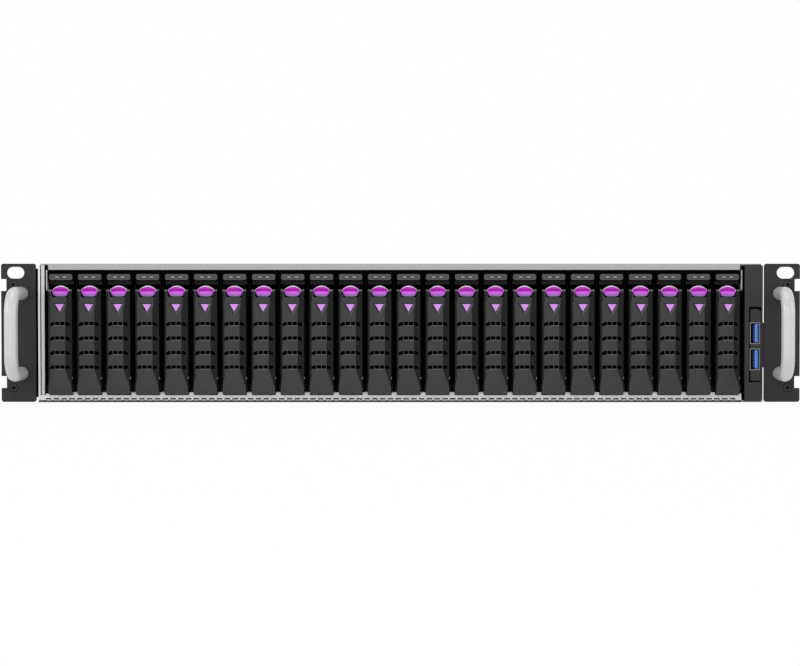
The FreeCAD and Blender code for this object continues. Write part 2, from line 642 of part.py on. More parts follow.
def make_rack_ear(side):
    """Flat ear with its mounting slot and edge notches, and the flange on the chassis side."""
    foot = EAR_LIFT
    top = CHASSIS_HEIGHT
    gap = EAR_AIR_GAP if side > 0 else EAR_SHADOW_GAP
    inner = HALF + gap
    outer = HALF + EAR_WIDTH
    low = LOW_NOTCH_Z
    high = top - HIGH_NOTCH_DROP - NOTCH_HEIGHT
    shelf = outer - EDGE_NOTCH
    outline = [
        (inner, foot), (outer, foot), (outer, low), (shelf, low), (shelf, low + NOTCH_HEIGHT),
        (outer, low + NOTCH_HEIGHT), (outer, high), (shelf, high), (shelf, high + NOTCH_HEIGHT),
        (outer, high + NOTCH_HEIGHT), (outer, top), (inner, top),
    ]
    plate = prism_y([(side * x, z) for x, z in outline], 0, EAR_THICKNESS)
    plate = plate.makeFillet(EAR_CORNER, corner_edges(plate))
    slot_x = side * (outer - SLOT_EDGE)
    slot_z = top - SLOT_DROP
    reach = (SLOT_LENGTH - SLOT_HEIGHT) / 2
    radius = SLOT_HEIGHT / 2
    slot = slab(slot_x - reach, slot_x + reach, 0, EAR_THICKNESS, slot_z - radius, slot_z + radius)
    for end in (-1, 1):
        slot = slot.fuse(disc_y(slot_x + end * reach, slot_z, radius, 0, EAR_THICKNESS))
    plate = plate.cut(slot)
    half_tab = EAR_TAB_HEIGHT / 2 if side > 0 else CHASSIS_HEIGHT / 2 - EAR_CORNER * 2
    middle = EAR_TAB_Z if side > 0 else CHASSIS_HEIGHT / 2
    across = sorted([side * HALF, side * (HALF + EAR_FLANGE)])
    start = 0 if side > 0 else EAR_THICKNESS / 2
    flange = slab(across[0], across[1], start, EAR_FLANGE_LENGTH, middle - half_tab, middle + half_tab)
    across = sorted([side * HALF, side * (inner + gap)])
    tab = slab(across[0], across[1], start, EAR_THICKNESS, middle - half_tab, middle + half_tab)
    return [joined([plate, flange, tab])]


def make_ear_handle(side):
    """Round rod bent into a U that stands out from the ear."""
    x = side * (HALF + HANDLE_OFFSET)
    low = HANDLE_LOW_Z
    high = HANDLE_LOW_Z + HANDLE_SPAN
    front = -HANDLE_STANDOFF
    bend = HANDLE_BEND

    def point(depth, z):
        return FreeCAD.Vector(x, depth, z)

    rod = HANDLE_ROD / 2
    forward = FreeCAD.Vector(0, -1, 0)
    up = FreeCAD.Vector(0, 0, 1)
    pieces = [
        Part.makeCylinder(rod, HANDLE_STANDOFF - bend, point(0, low), forward),
        Part.makeCylinder(rod, HANDLE_STANDOFF - bend, point(0, high), forward),
        Part.makeCylinder(rod, HANDLE_SPAN - 2 * bend, point(front, low + bend), up),
    ]
    centre = FreeCAD.Vector(0, 0, 0)
    for z, start in ((low + bend, 180), (high - bend, 270)):
        elbow = Part.makeTorus(bend, rod, centre, up, -180, 180, 90)
        elbow.rotate(centre, up, start)
        elbow.rotate(centre, FreeCAD.Vector(0, 1, 0), -90)
        elbow.translate(point(front + bend, z))
        pieces.append(elbow)
    return [joined(pieces)]


def make_front_io_panel():
    """Black pillar with a sunk port module and a hollow housing behind it."""
    left = BLOCK_RIGHT + RUN_CLEAR + PANEL_GAP
    right = HALF - RUN_CLEAR
    foot = RUN_CLEAR * 2
    top = CHASSIS_HEIGHT - RUN_CLEAR * 2
    back = PANEL_FRONT + PANEL_THICKNESS
    cut = PANEL_CORNER
    outline = [(left, foot), (right - cut, foot), (right, foot + cut), (right, top - cut), (right - cut, top),
               (left, top)]
    plate = prism_y(outline, PANEL_FRONT, back)
    module_right = right - MODULE_EDGE
    module_left = module_right - MODULE_WIDTH
    recess = slab(module_left, module_right, PANEL_FRONT, PANEL_FRONT + MODULE_RECESS,
                  MODULE_Z, MODULE_Z + MODULE_HEIGHT)
    middle = (module_left + module_right) / 2
    reach = PORT_WIDTH / 2 + PORT_FIT
    rise = PORT_HEIGHT / 2 + PORT_FIT
    cutters = [recess]
    for z in port_heights():
        cutters.append(slab(middle - reach, middle + reach, PANEL_FRONT, back, z - rise, z + rise))
    plate = without(plate, cutters)
    wall_left = BLOCK_RIGHT + RUN_CLEAR * 2 + CAGE_SHEET
    wall_right = INNER - PORT_FIT
    housing = slab(wall_left, wall_right, back, back + HOUSING_DEPTH, MODULE_Z, MODULE_Z + MODULE_HEIGHT)
    hollow = slab(middle - reach, middle + reach, back, back + HOUSING_DEPTH,
                  MODULE_Z + SHEET, MODULE_Z + MODULE_HEIGHT - SHEET)
    return [joined([plate, housing.cut(hollow)])]


def port_heights():
    """Middles of the two front ports."""
    return [PORT_LOW_Z, PORT_LOW_Z + PORT_PITCH]


def make_usb_ports():
    """Metal port shells, each with a tongue on a closed back."""
    middle = HALF - RUN_CLEAR - MODULE_EDGE - MODULE_WIDTH / 2
    half = PORT_WIDTH / 2
    front = PANEL_FRONT + MODULE_RECESS - PORT_PROUD
    back = front + PORT_DEPTH
    solids = []
    for z in port_heights():
        foot = z - PORT_HEIGHT / 2
        top = z + PORT_HEIGHT / 2
        shell = slab(middle - half, middle + half, front, back, foot, top)
        hollow = slab(middle - half + PORT_SHELL, middle + half - PORT_SHELL, front, back - PORT_SHELL,
                      foot + PORT_SHELL, top - PORT_SHELL)
        tongue_right = middle + half - 2 * PORT_SHELL
        tongue = slab(tongue_right - PORT_TONGUE, tongue_right, front + PORT_PROUD, back - PORT_SHELL,
                      foot + 2 * PORT_SHELL, top - 2 * PORT_SHELL)
        solids += [shell.cut(hollow), tongue]
    return solids


def fan_centres():
    """Middles of the fans across the chassis."""
    return [(number - (FAN_COUNT - 1) / 2) * FAN_PITCH for number in range(FAN_COUNT)]


def make_fan_wall():
    """Upright sheet with one clipped opening per fan and a foot folded to the rear."""
    back = FAN_D - RUN_CLEAR
    front = back - SHEET
    edge = INNER - RUN_CLEAR * 2 - COVER_SHEET
    sheet = slab(-edge, edge, front, back, SHEET, WALL_TOP - RUN_CLEAR)
    openings = []
    for x in fan_centres():
        half = FAN_BORE_R
        clip = FAN_BORE_R * (2 - math.sqrt(2))
        outline = [(x - half + clip, FAN_AXIS_Z - half), (x + half - clip, FAN_AXIS_Z - half),
                   (x + half, FAN_AXIS_Z - half + clip), (x + half, FAN_AXIS_Z + half - clip),
                   (x + half - clip, FAN_AXIS_Z + half), (x - half + clip, FAN_AXIS_Z + half),
                   (x - half, FAN_AXIS_Z + half - clip), (x - half, FAN_AXIS_Z - half + clip)]
        openings.append(prism_y(outline, front, back))
    foot = slab(-edge, edge, front, FAN_D + FAN_DEPTH, SHEET, SHEET + FAN_CLEAR - RUN_CLEAR)
    return [joined([without(sheet, openings), foot])]


def make_fan_housings():
    """Square fan frames with a round bore and a motor base on four struts."""
    solids = []
    half = FAN_SIZE / 2
    rear = FAN_D + FAN_DEPTH
    spider = rear - FAN_STRUT
    arm = FAN_STRUT / 2
    for x in fan_centres():
        frame = slab(x - half, x + half, FAN_D, spider, FAN_AXIS_Z - half, FAN_AXIS_Z + half)
        solids.append(frame.cut(disc_y(x, FAN_AXIS_Z, FAN_BORE_R, FAN_D, spider)))
        base = facet_bar(x, FAN_AXIS_Z, FAN_HUB_R, FAN_BASE_SIDES, rear - FAN_BASE_DEPTH, rear)
        across = slab(x - half, x + half, spider, rear, FAN_AXIS_Z - arm, FAN_AXIS_Z + arm)
        upright = slab(x - arm, x + arm, spider, rear, FAN_AXIS_Z - half, FAN_AXIS_Z + half)
        solids.append(joined([base, across, upright]))
    return solids


def make_fan_rotor(x):
    """Hub with leaning blades, running just in front of the motor base."""
    rear = FAN_D + FAN_DEPTH - FAN_BASE_DEPTH - RUN_CLEAR
    front = rear - FAN_HUB_DEPTH
    middle = (front + rear) / 2
    chord = FAN_BLADE_CHORD / 2
    lean = FAN_BLADE_LEAN / 2
    outline = [(-lean, middle - chord), (-lean + FAN_BLADE_THICK, middle - chord),
               (lean, middle + chord), (lean - FAN_BLADE_THICK, middle + chord)]
    blade = prism_z(outline, FAN_HUB_R - 2 * FAN_BLADE_THICK, FAN_BORE_R - FAN_TIP_CLEAR)
    pieces = [facet_bar(0, 0, FAN_HUB_R, FAN_BLADES, front, rear)]
    for number in range(FAN_BLADES):
        copy = blade.copy()
        turn = 360.0 * (number + 0.5) / FAN_BLADES
        copy.rotate(FreeCAD.Vector(0, 0, 0), FreeCAD.Vector(0, 1, 0), turn)
        pieces.append(copy)
    rotor = joined(pieces)
    rotor.translate(FreeCAD.Vector(x, 0, FAN_AXIS_Z))
    return [rotor]


def sink_centres():
    """Middles of the two processors across the board."""
    width = BOARD_RIGHT - BOARD_LEFT
    return [BOARD_LEFT + width * share for share in SINK_SHARES]


def make_mainboard():
    """Board on standoffs with sockets, memory slots, card sockets and rear ports."""
    solids = [slab(BOARD_LEFT, BOARD_RIGHT, BOARD_D, BOARD_D + BOARD_DEPTH, BOARD_Z, BOARD_TOP)]
    stand = BOARD_STANDOFF / 2
    for x in (BOARD_LEFT + stand, (BOARD_LEFT + BOARD_RIGHT) / 2, BOARD_RIGHT - stand):
        for d in (BOARD_D + stand, BOARD_D + BOARD_DEPTH / 2, BOARD_D + BOARD_DEPTH - stand):
            solids.append(slab(x - stand, x + stand, d - stand, d + stand, SHEET, BOARD_Z))
    sink_d = BOARD_D + BOARD_STANDOFF + HEATSINK_DEPTH / 2
    for x in sink_centres():
        reach = HEATSINK_WIDTH / 2 - BOARD_STANDOFF
        solids.append(slab(x - reach, x + reach, sink_d - reach, sink_d + reach,
                           BOARD_TOP, BOARD_TOP + SOCKET_HEIGHT))
        memory_d = sink_d + DIMM_SHIFT - DIMM_LENGTH / 2
        for side in (-1, 1):
            for number in range(DIMM_BANK):
                line = x + side * (HEATSINK_WIDTH / 2 + DIMM_GAP + DIMM_PITCH * number)
                solids.append(slab(line - DIMM_WIDTH / 2, line + DIMM_WIDTH / 2, memory_d,
                                   memory_d + DIMM_LENGTH, BOARD_TOP, BOARD_TOP + DIMM_HEIGHT))
    end = BOARD_D + BOARD_DEPTH
    for x in card_centres():
        socket_end = end - CARD_EDGE * 2
        solids.append(slab(x - CARD_SOCKET_WIDTH / 2, x + CARD_SOCKET_WIDTH / 2,
                           socket_end - CARD_SOCKET_LENGTH, socket_end,
                           BOARD_TOP, BOARD_TOP + CARD_SOCKET_HEIGHT))
    left = BOARD_LEFT + BOARD_STANDOFF * 2
    for width, height in rear_port_sizes():
        solids.append(slab(left, left + width, end - PORT_BLOCK_DEPTH, end + REAR_GAP,
                           BOARD_TOP, BOARD_TOP + height))
        left += width + BOARD_STANDOFF
    return solids


def rear_port_sizes():
    """Width and height of each block of rear ports, from the supply side."""
    net_stack = (NET_STACK_WIDTH, NET_STACK_HEIGHT)
    screen_port = (SCREEN_PORT_WIDTH, SCREEN_PORT_HEIGHT)
    service_port = (SERVICE_PORT_WIDTH, SERVICE_PORT_HEIGHT)
    return [(USB_STACK_WIDTH, USB_STACK_HEIGHT), net_stack, net_stack, screen_port, service_port]


def make_cpu_heatsinks():
    """Finned passive coolers on the two sockets."""
    solids = []
    front = BOARD_D + BOARD_STANDOFF
    foot = BOARD_TOP + SOCKET_HEIGHT
    top = WALL_TOP - SINK_TOP_CLEAR
    pitch = (HEATSINK_WIDTH - HEATSINK_FIN) / (HEATSINK_FINS - 1)
    for x in sink_centres():
        left = x - HEATSINK_WIDTH / 2
        outline = [(left, foot), (left + HEATSINK_WIDTH, foot)]
        for number in reversed(range(HEATSINK_FINS)):
            fin = left + number * pitch
            outline += [(fin + HEATSINK_FIN, top), (fin, top)]
            if number:
                outline += [(fin, foot + HEATSINK_BASE), (fin - pitch + HEATSINK_FIN, foot + HEATSINK_BASE)]
        solids.append(prism_y(outline, front, front + HEATSINK_DEPTH))
    return solids


def make_air_shroud():
    """Thin duct from the fans over the heatsinks, open at both ends and below."""
    left = BOARD_LEFT
    right = BOARD_RIGHT
    front = FAN_D + FAN_DEPTH + RUN_CLEAR
    rear = BOARD_D + HEATSINK_DEPTH + BOARD_STANDOFF * 2
    top = WALL_TOP - SHROUD_TOP_CLEAR
    low = top - SHROUD_TOP_CLEAR
    bend = (front + BOARD_D) / 2
    outer = [(front, BOARD_TOP), (rear, BOARD_TOP), (rear, low), (bend, low), (front, top)]
    inner = [(front, BOARD_TOP), (rear, BOARD_TOP), (rear, low - SHROUD_WALL), (bend, low - SHROUD_WALL),
             (front, top - SHROUD_WALL)]
    duct = prism_x(outer, left, right)
    return [duct.cut(prism_x(inner, left + SHROUD_WALL, right - SHROUD_WALL))]


def make_psu_cage():
    """Side sheets and the shelf between the two supplies."""
    front = PSU_FRONT - PSU_CLEAR
    left = slab(PSU_CAGE_LEFT, PSU_CAGE_LEFT + PSU_WALL, front, REAR_D, SHEET, WALL_TOP - PSU_SHELF)
    right = slab(PSU_CAGE_RIGHT - PSU_WALL, PSU_CAGE_RIGHT, front, REAR_D, SHEET, WALL_TOP - PSU_SHELF)
    shelf_z = SHEET + 2 * PSU_CLEAR + PSU_HEIGHT - PSU_CLEAR
    shelf = slab(PSU_CAGE_LEFT, PSU_CAGE_RIGHT, front, REAR_D, shelf_z, shelf_z + PSU_SHELF - PSU_CLEAR)
    return [joined([left, right, shelf])]


def psu_foot(level):
    """Underside of a supply: level 0 is the lower one."""
    return SHEET + PSU_CLEAR + level * (PSU_HEIGHT + PSU_SHELF)


def make_power_supply(level):
    """Slim supply case with a mains inlet recess and a bent pull handle on its rear face."""
    foot = psu_foot(level)
    top = foot + PSU_HEIGHT
    case = slab(PSU_LEFT, PSU_RIGHT, PSU_FRONT, PSU_REAR, foot, top)
    middle = (foot + top) / 2
    inlet_left = PSU_LEFT + INLET_RIM * 2
    inlet = slab(inlet_left, inlet_left + INLET_WIDTH, PSU_REAR - INLET_DEPTH, PSU_REAR,
                 middle - INLET_HEIGHT / 2, middle + INLET_HEIGHT / 2)
    pocket = slab(PSU_RIGHT - LATCH_POCKET, PSU_RIGHT, PSU_REAR - LATCH_POCKET, PSU_REAR,
                  middle - LATCH_HEIGHT / 2 - RUN_CLEAR, middle + LATCH_HEIGHT / 2 + RUN_CLEAR)
    case = without(case, [inlet, pocket])
    bar = PSU_HANDLE_BAR
    left = inlet_left + INLET_WIDTH + INLET_RIM
    right = left + PSU_HANDLE_WIDTH
    z0 = middle - bar / 2
    z1 = middle + bar / 2
    end = PSU_REAR + PSU_HANDLE_REACH
    crook = bar + PSU_HANDLE_CORNER
    outline = [(left, PSU_REAR), (left + bar, PSU_REAR), (left + bar, end - crook), (left + crook, end - bar),
               (right - crook, end - bar), (right - bar, end - crook), (right - bar, PSU_REAR),
               (right, PSU_REAR), (right, end - bar), (right - bar, end), (left + bar, end),
               (left, end - bar)]
    return [case, prism_z(outline, z0, z1)]


def make_psu_latch(level):
    """Spring tongue that is pressed sideways to free a supply."""
    middle = psu_foot(level) + PSU_HEIGHT / 2
    right = PSU_RIGHT - LATCH_THICKNESS
    left = right - LATCH_THICKNESS
    root = PSU_REAR - LATCH_POCKET
    end = PSU_REAR + LATCH_REACH
    outline = [(left, root + RUN_CLEAR), (right, root + RUN_CLEAR), (right, end - LATCH_WIDTH),
               (right + LATCH_THICKNESS, end), (right, end), (left, end - LATCH_WIDTH)]
    return [prism_z(outline, middle - LATCH_HEIGHT / 2, middle + LATCH_HEIGHT / 2)]


def make_slot_covers():
    """Blanking plates over the card slots, each with a folded top tab."""
    solids = []
    back = REAR_D
    front = back - SHEET
    for x in card_centres():
        half = COVER_PLATE_WIDTH / 2
        foot = card_top() - CARD_SLOT_HEIGHT - SHEET
        plate = slab(x - half, x + half, front, back, foot, card_top() + SHEET * 2)
        tab = slab(x - half, x + half, front - CARD_EDGE / 2, front,
                   card_top() + SHEET, card_top() + SHEET * 2)
        solids.append(joined([plate, tab]))
    return solids


def make_case_screws():
    """Screw heads on the ears and the thumb screws behind the cover."""
    solids = []
    for side in (-1, 1):
        x = side * (HALF + HANDLE_OFFSET + SCREW_OUTSET)
        for z in (SCREW_LOW_Z + EDGE_NOTCH / 2, CHASSIS_HEIGHT - SCREW_HIGH_DROP):
            solids.append(facet_bar(x, z, SCREW_HEAD_R, SCREW_FACETS, -SCREW_HEAD_PROUD, 0))
    return solids


def make_thumbscrews():
    """Knurled cover screws on the rear panel."""
    z = WALL_TOP - THUMBSCREW_R - RUN_CLEAR
    return [facet_bar(x, z, THUMBSCREW_R, SCREW_FACETS, CHASSIS_DEPTH, CHASSIS_DEPTH + THUMBSCREW_LENGTH)
            for x in (PSU_CAGE_RIGHT + THUMBSCREW_R * 2, INNER - THUMBSCREW_R * 2)]


def build_bays():
    """Carriers, and the levers and buttons, which are pieces of their own in the first bays."""
    blank = make_drive_blank()
    light_bar = make_light_bar()
    button = make_button()
    jointed = (make_carrier_frame(True), make_lever(True))
    plain = (make_carrier_frame(False), make_lever(False))
    for index in range(BAY_COUNT):
        x = bay_centre(index)
        tag = "_%02d" % (index + 1)
        if index < JOINTED_BAYS:
            frame, lever = jointed
            save("drive_carrier" + tag, moved_across([frame, light_bar, blank], x))
            save("carrier_lever" + tag, moved_across([lever], x))
            save("release_button" + tag, moved_across([button], x))
        else:
            frame, lever = plain
            save("drive_carrier" + tag, moved_across([frame, light_bar, blank, lever, button], x))


def build_all():
    """Write every piece of the server."""
    os.makedirs("parts", exist_ok=True)
    save("chassis_tray", make_chassis_tray())
    save("rear_panel", make_rear_panel())
    save("front_top_plate", make_front_top_plate())
    save("top_cover", make_top_cover())
    save("drive_cage", make_drive_cage())
    save("drive_backplane", make_drive_backplane())
    for side, word in ((-1, "left"), (1, "right")):
        save("rack_ear_" + word, make_rack_ear(side))
        save("ear_handle_" + word, make_ear_handle(side))
    save("front_io_panel", make_front_io_panel())
    save("usb_ports", make_usb_ports())
    save("fan_wall", make_fan_wall())
    save("fan_housings", make_fan_housings())
    for number, x in enumerate(fan_centres()):
        save("fan_rotor_%d" % (number + 1), make_fan_rotor(x))
    save("mainboard", make_mainboard())
    save("cpu_heatsinks", make_cpu_heatsinks())
    save("air_shroud", make_air_shroud())
    save("psu_cage", make_psu_cage())
    for level in (0, 1):
        save("power_supply_%d" % (level + 1), make_power_supply(level))
        save("psu_latch_%d" % (level + 1), make_psu_latch(level))
    save("slot_covers", make_slot_covers())
    save("case_screws", make_case_screws() + make_thumbscrews())
    build_bays()


build_all()
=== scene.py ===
"""Looks of a two-unit rackmount server with a row of upright hot-swap drive bays.

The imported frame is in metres: X runs across the rack, the front faces -Y, Z is up.
Sizes in this file are millimetres, scaled by MM. Depths run rearwards from the ear plane.
"""
import logging
import math
from collections.abc import Callable, Iterable, Sequence
from dataclasses import dataclass
from enum import Enum, IntEnum

import bmesh
import bpy
from bpy.types import Material, Mesh, MeshPolygon, Node, NodeSocket, NodeTree, Object, Scene
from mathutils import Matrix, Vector


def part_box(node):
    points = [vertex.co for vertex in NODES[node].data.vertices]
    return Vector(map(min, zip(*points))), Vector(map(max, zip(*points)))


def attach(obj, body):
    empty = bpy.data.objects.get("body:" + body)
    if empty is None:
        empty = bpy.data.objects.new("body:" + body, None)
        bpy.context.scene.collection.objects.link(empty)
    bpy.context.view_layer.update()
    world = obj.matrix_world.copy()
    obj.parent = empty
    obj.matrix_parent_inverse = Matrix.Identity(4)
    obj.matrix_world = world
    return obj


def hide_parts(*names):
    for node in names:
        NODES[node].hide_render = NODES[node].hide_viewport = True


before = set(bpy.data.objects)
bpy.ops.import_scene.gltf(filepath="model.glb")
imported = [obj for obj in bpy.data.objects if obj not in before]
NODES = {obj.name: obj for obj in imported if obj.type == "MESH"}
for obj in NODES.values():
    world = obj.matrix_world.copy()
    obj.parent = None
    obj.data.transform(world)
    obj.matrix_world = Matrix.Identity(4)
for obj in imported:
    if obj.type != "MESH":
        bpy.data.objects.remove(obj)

LOG = logging.getLogger("server")
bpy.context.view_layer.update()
MM = 0.001
EAR_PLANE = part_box("rack_ear_left")[0].y / MM
REAR_DEPTH = 656.4
SIDES = (-1, 1)
PLATE_SMOOTH = 16.0
FLAT_ANGLE = math.radians(1)
WELD_REACH = 0.002 * MM

Colour = tuple[float, float, float]
Point2 = tuple[float, float]
Point3 = tuple[float, float, float]


def depth(value: float) -> float:
    """Frame Y, in millimetres, of a depth behind the ear plane."""
    return EAR_PLANE + value


def around(middle: float, half: float) -> Point2:
    """Limits at equal distance on both sides of a middle."""
    return (middle - half, middle + half)


def span(first: float, second: float) -> Point2:
    """Two limits, the lower one first."""
    return (min(first, second), max(first, second))


# Shader node groups


MID_GREY = (0.5, 0.5, 0.5)


class GroupMaker:
    """Builds one shader node group with named sockets."""

    def __init__(self, name: str, inputs: dict[str, float | Colour], outputs: Sequence[str]) -> None:
        """Start a group with its sockets.

        Args:
            name: name of the group.
            inputs: socket name and default, a float or an RGB colour.
            outputs: socket names; the one called Colour carries a colour, the others a number.
        """
        self.tree = bpy.data.node_groups.new(name, "ShaderNodeTree")
        for label, default in inputs.items():
            is_colour = isinstance(default, tuple)
            kind = "NodeSocketColor" if is_colour else "NodeSocketFloat"
            socket = self.tree.interface.new_socket(label, in_out="INPUT", socket_type=kind)
            socket.default_value = (*default, 1.0) if is_colour else default
        for label in outputs:
            kind = "NodeSocketColor" if label == "Colour" else "NodeSocketFloat"
            self.tree.interface.new_socket(label, in_out="OUTPUT", socket_type=kind)
        self.source = self.tree.nodes.new("NodeGroupInput")
        self.sink = self.tree.nodes.new("NodeGroupOutput")

    def add(self, kind: str, **settings: object) -> Node:
        """Add a node and set its plain properties."""
        return add_node(self.tree, kind, **settings)

    def math(self, operation: str, first: object, second: object) -> NodeSocket:
        """Add a math node and return its value socket."""
        return math_node(self.tree, operation, first, second)

    def link(self, source: NodeSocket, target: NodeSocket) -> None:
        """Join two sockets."""
        self.tree.links.new(source, target)

    def given(self, label: str) -> NodeSocket:
        """Socket of one of the group's inputs."""
        return self.source.outputs[label]

    def give(self, label: str, value: NodeSocket) -> None:
        """Lead a value to one of the group's outputs."""
        self.link(value, self.sink.inputs[label])

    def give_base(self, factor: NodeSocket) -> None:
        """Give the base colour times a factor as the group's colour.

        Args:
            factor: socket of the factor.
        """
        scaled = self.add("VectorMath", operation="SCALE")
        self.link(self.given("Base"), scaled.inputs[0])
        self.link(factor, scaled.inputs["Scale"])
        self.give("Colour", scaled.outputs[0])

    def spot(self) -> NodeSocket:
        """Place on the piece, in its own frame."""
        return self.add("TexCoord").outputs["Object"]

    def pattern(self, kind: str, detail: float | None = None) -> Node:
        """Add a texture that lies over the piece at the group's scale.

        Args:
            kind: Blender's texture type without its ShaderNodeTex prefix.
            detail: fineness of a noise.

        Returns:
            The texture node.
        """
        node = self.add("Tex" + kind)
        if detail is not None:
            node.inputs["Detail"].default_value = detail
        self.link(self.spot(), node.inputs["Vector"])
        self.link(self.given("Scale"), node.inputs["Scale"])
        return node


def add_node(tree: NodeTree, kind: str, **settings: object) -> Node:
    """Add a node to a tree.

    Args:
        tree: the tree that takes the node.
        kind: Blender's node type without its ShaderNode prefix.
        settings: plain properties of the node.

    Returns:
        The new node.
    """
    node = tree.nodes.new("ShaderNode" + kind)
    for label, value in settings.items():
        setattr(node, label, value)
    return node


def math_node(tree: NodeTree, operation: str, first: object, second: object) -> NodeSocket:
    """Add a math node.

    Args:
        tree: the tree that takes the node.
        operation: Blender's name of the operation.
        first: a socket or a number.
        second: a socket or a number.

    Returns:
        The value socket.
    """
    node = add_node(tree, "Math", operation=operation)
    for socket, value in zip(node.inputs, (first, second)):
        if isinstance(value, NodeSocket):
            tree.links.new(value, socket)
        else:
            socket.default_value = value
    return node.outputs[0]


def make_tone_group() -> NodeTree:
    """Uneven colour and gloss: a cloud over a base colour.

    Returns:
        The node group.
    """
    inputs = {"Base": MID_GREY, "Spread": 0.1, "Scale": 40.0, "Gloss": 0.5, "Gloss Spread": 0.05}
    maker = GroupMaker("uneven_tone", inputs, ("Colour", "Roughness"))
    centred = maker.math("SUBTRACT", maker.pattern("Noise", 4.0).outputs["Fac"], 0.5)
    swing = maker.math("MULTIPLY", centred, maker.given("Spread"))
    maker.give_base(maker.math("ADD", maker.math("MULTIPLY", swing, 2.0), 1.0))
    gloss = maker.math("MULTIPLY", centred, maker.given("Gloss Spread"))
    maker.give("Roughness", maker.math("ADD", maker.given("Gloss"), gloss))
    return maker.tree


def make_grain_group() -> NodeTree:
    """Height of a fine moulded or sprayed grain.

    Returns:
        The node group.
    """
    maker = GroupMaker("fine_grain", {"Scale": 2500.0}, ("Height",))
    maker.give("Height", maker.pattern("Noise", 2.0).outputs["Fac"])
    return maker.tree


def make_brush_group() -> NodeTree:
    """Height of drawn lines that run along one axis of the piece.

    Returns:
        The node group.
    """
    maker = GroupMaker("drawn_lines", {"Across X": 60.0, "Across Y": 2500.0, "Across Z": 2500.0}, ("Height",))
    stretch = maker.add("CombineXYZ")
    for label in "XYZ":
        maker.link(maker.given("Across " + label), stretch.inputs[label])
    product = maker.add("VectorMath", operation="MULTIPLY")
    maker.link(maker.spot(), product.inputs[0])
    maker.link(stretch.outputs[0], product.inputs[1])
    lines = maker.add("TexNoise")
    lines.inputs["Scale"].default_value = 1.0
    lines.inputs["Detail"].default_value = 1.0
    maker.link(product.outputs[0], lines.inputs["Vector"])
    maker.give("Height", lines.outputs["Fac"])
    return maker.tree


def make_spangle_group() -> NodeTree:
    """Crystal flakes of a galvanised sheet, as a tone and a height.

    Returns:
        The node group.
    """
    inputs = {"Base": MID_GREY, "Spread": 0.1, "Scale": 120.0, "Gloss": 0.4}
    maker = GroupMaker("zinc_spangle", inputs, ("Colour", "Roughness", "Height"))
    split = maker.add("SeparateColor")
    maker.link(maker.pattern("Voronoi").outputs["Color"], split.inputs[0])
    centred = maker.math("SUBTRACT", split.outputs[0], 0.5)
    swing = maker.math("MULTIPLY", centred, maker.given("Spread"))
    maker.give_base(maker.math("ADD", swing, 1.0))
    maker.give("Roughness", maker.math("ADD", maker.given("Gloss"), swing))
    maker.give("Height", split.outputs[1])
    return maker.tree


def make_dust_group() -> NodeTree:
    """Mask of the faint dust that settles on faces that look up.

    Returns:
        The node group.
    """
    maker = GroupMaker("settled_dust", {"Amount": 0.1, "Scale": 90.0}, ("Mask",))
    split = maker.add("SeparateXYZ")
    maker.link(maker.add("NewGeometry").outputs["True Normal"], split.inputs[0])
    up = maker.math("MAXIMUM", split.outputs["Z"], 0.0)
    patch = maker.math("MULTIPLY", up, maker.pattern("Noise", 6.0).outputs["Fac"])
    maker.give("Mask", maker.math("MULTIPLY", patch, maker.given("Amount")))
    return maker.tree


TONE_GROUP = make_tone_group()
GRAIN_GROUP = make_grain_group()
BRUSH_GROUP = make_brush_group()
SPANGLE_GROUP = make_spangle_group()
DUST_GROUP = make_dust_group()


# Finishes


class Texture(Enum):
    """What the surface of a finish shows from close by."""

    SMOOTH = "smooth"
    GRAIN = "grain"
    DRAWN_X = "drawn lines along X"
    DRAWN_Z = "drawn lines along Z"
    SPANGLE = "spangle"


DRAWN_SCALES = {
    Texture.DRAWN_X: (40.0, 3000.0, 3000.0),
    Texture.DRAWN_Z: (3000.0, 3000.0, 40.0),
}
DUST_COLOUR = (0.42, 0.41, 0.39)
BUMP_REACH = 0.1 * MM
GLOSS_SHARE = 0.4
GLOSS_LIMIT = 0.2
MIX_FIRST, MIX_SECOND, MIX_RESULT = 6, 7, 2


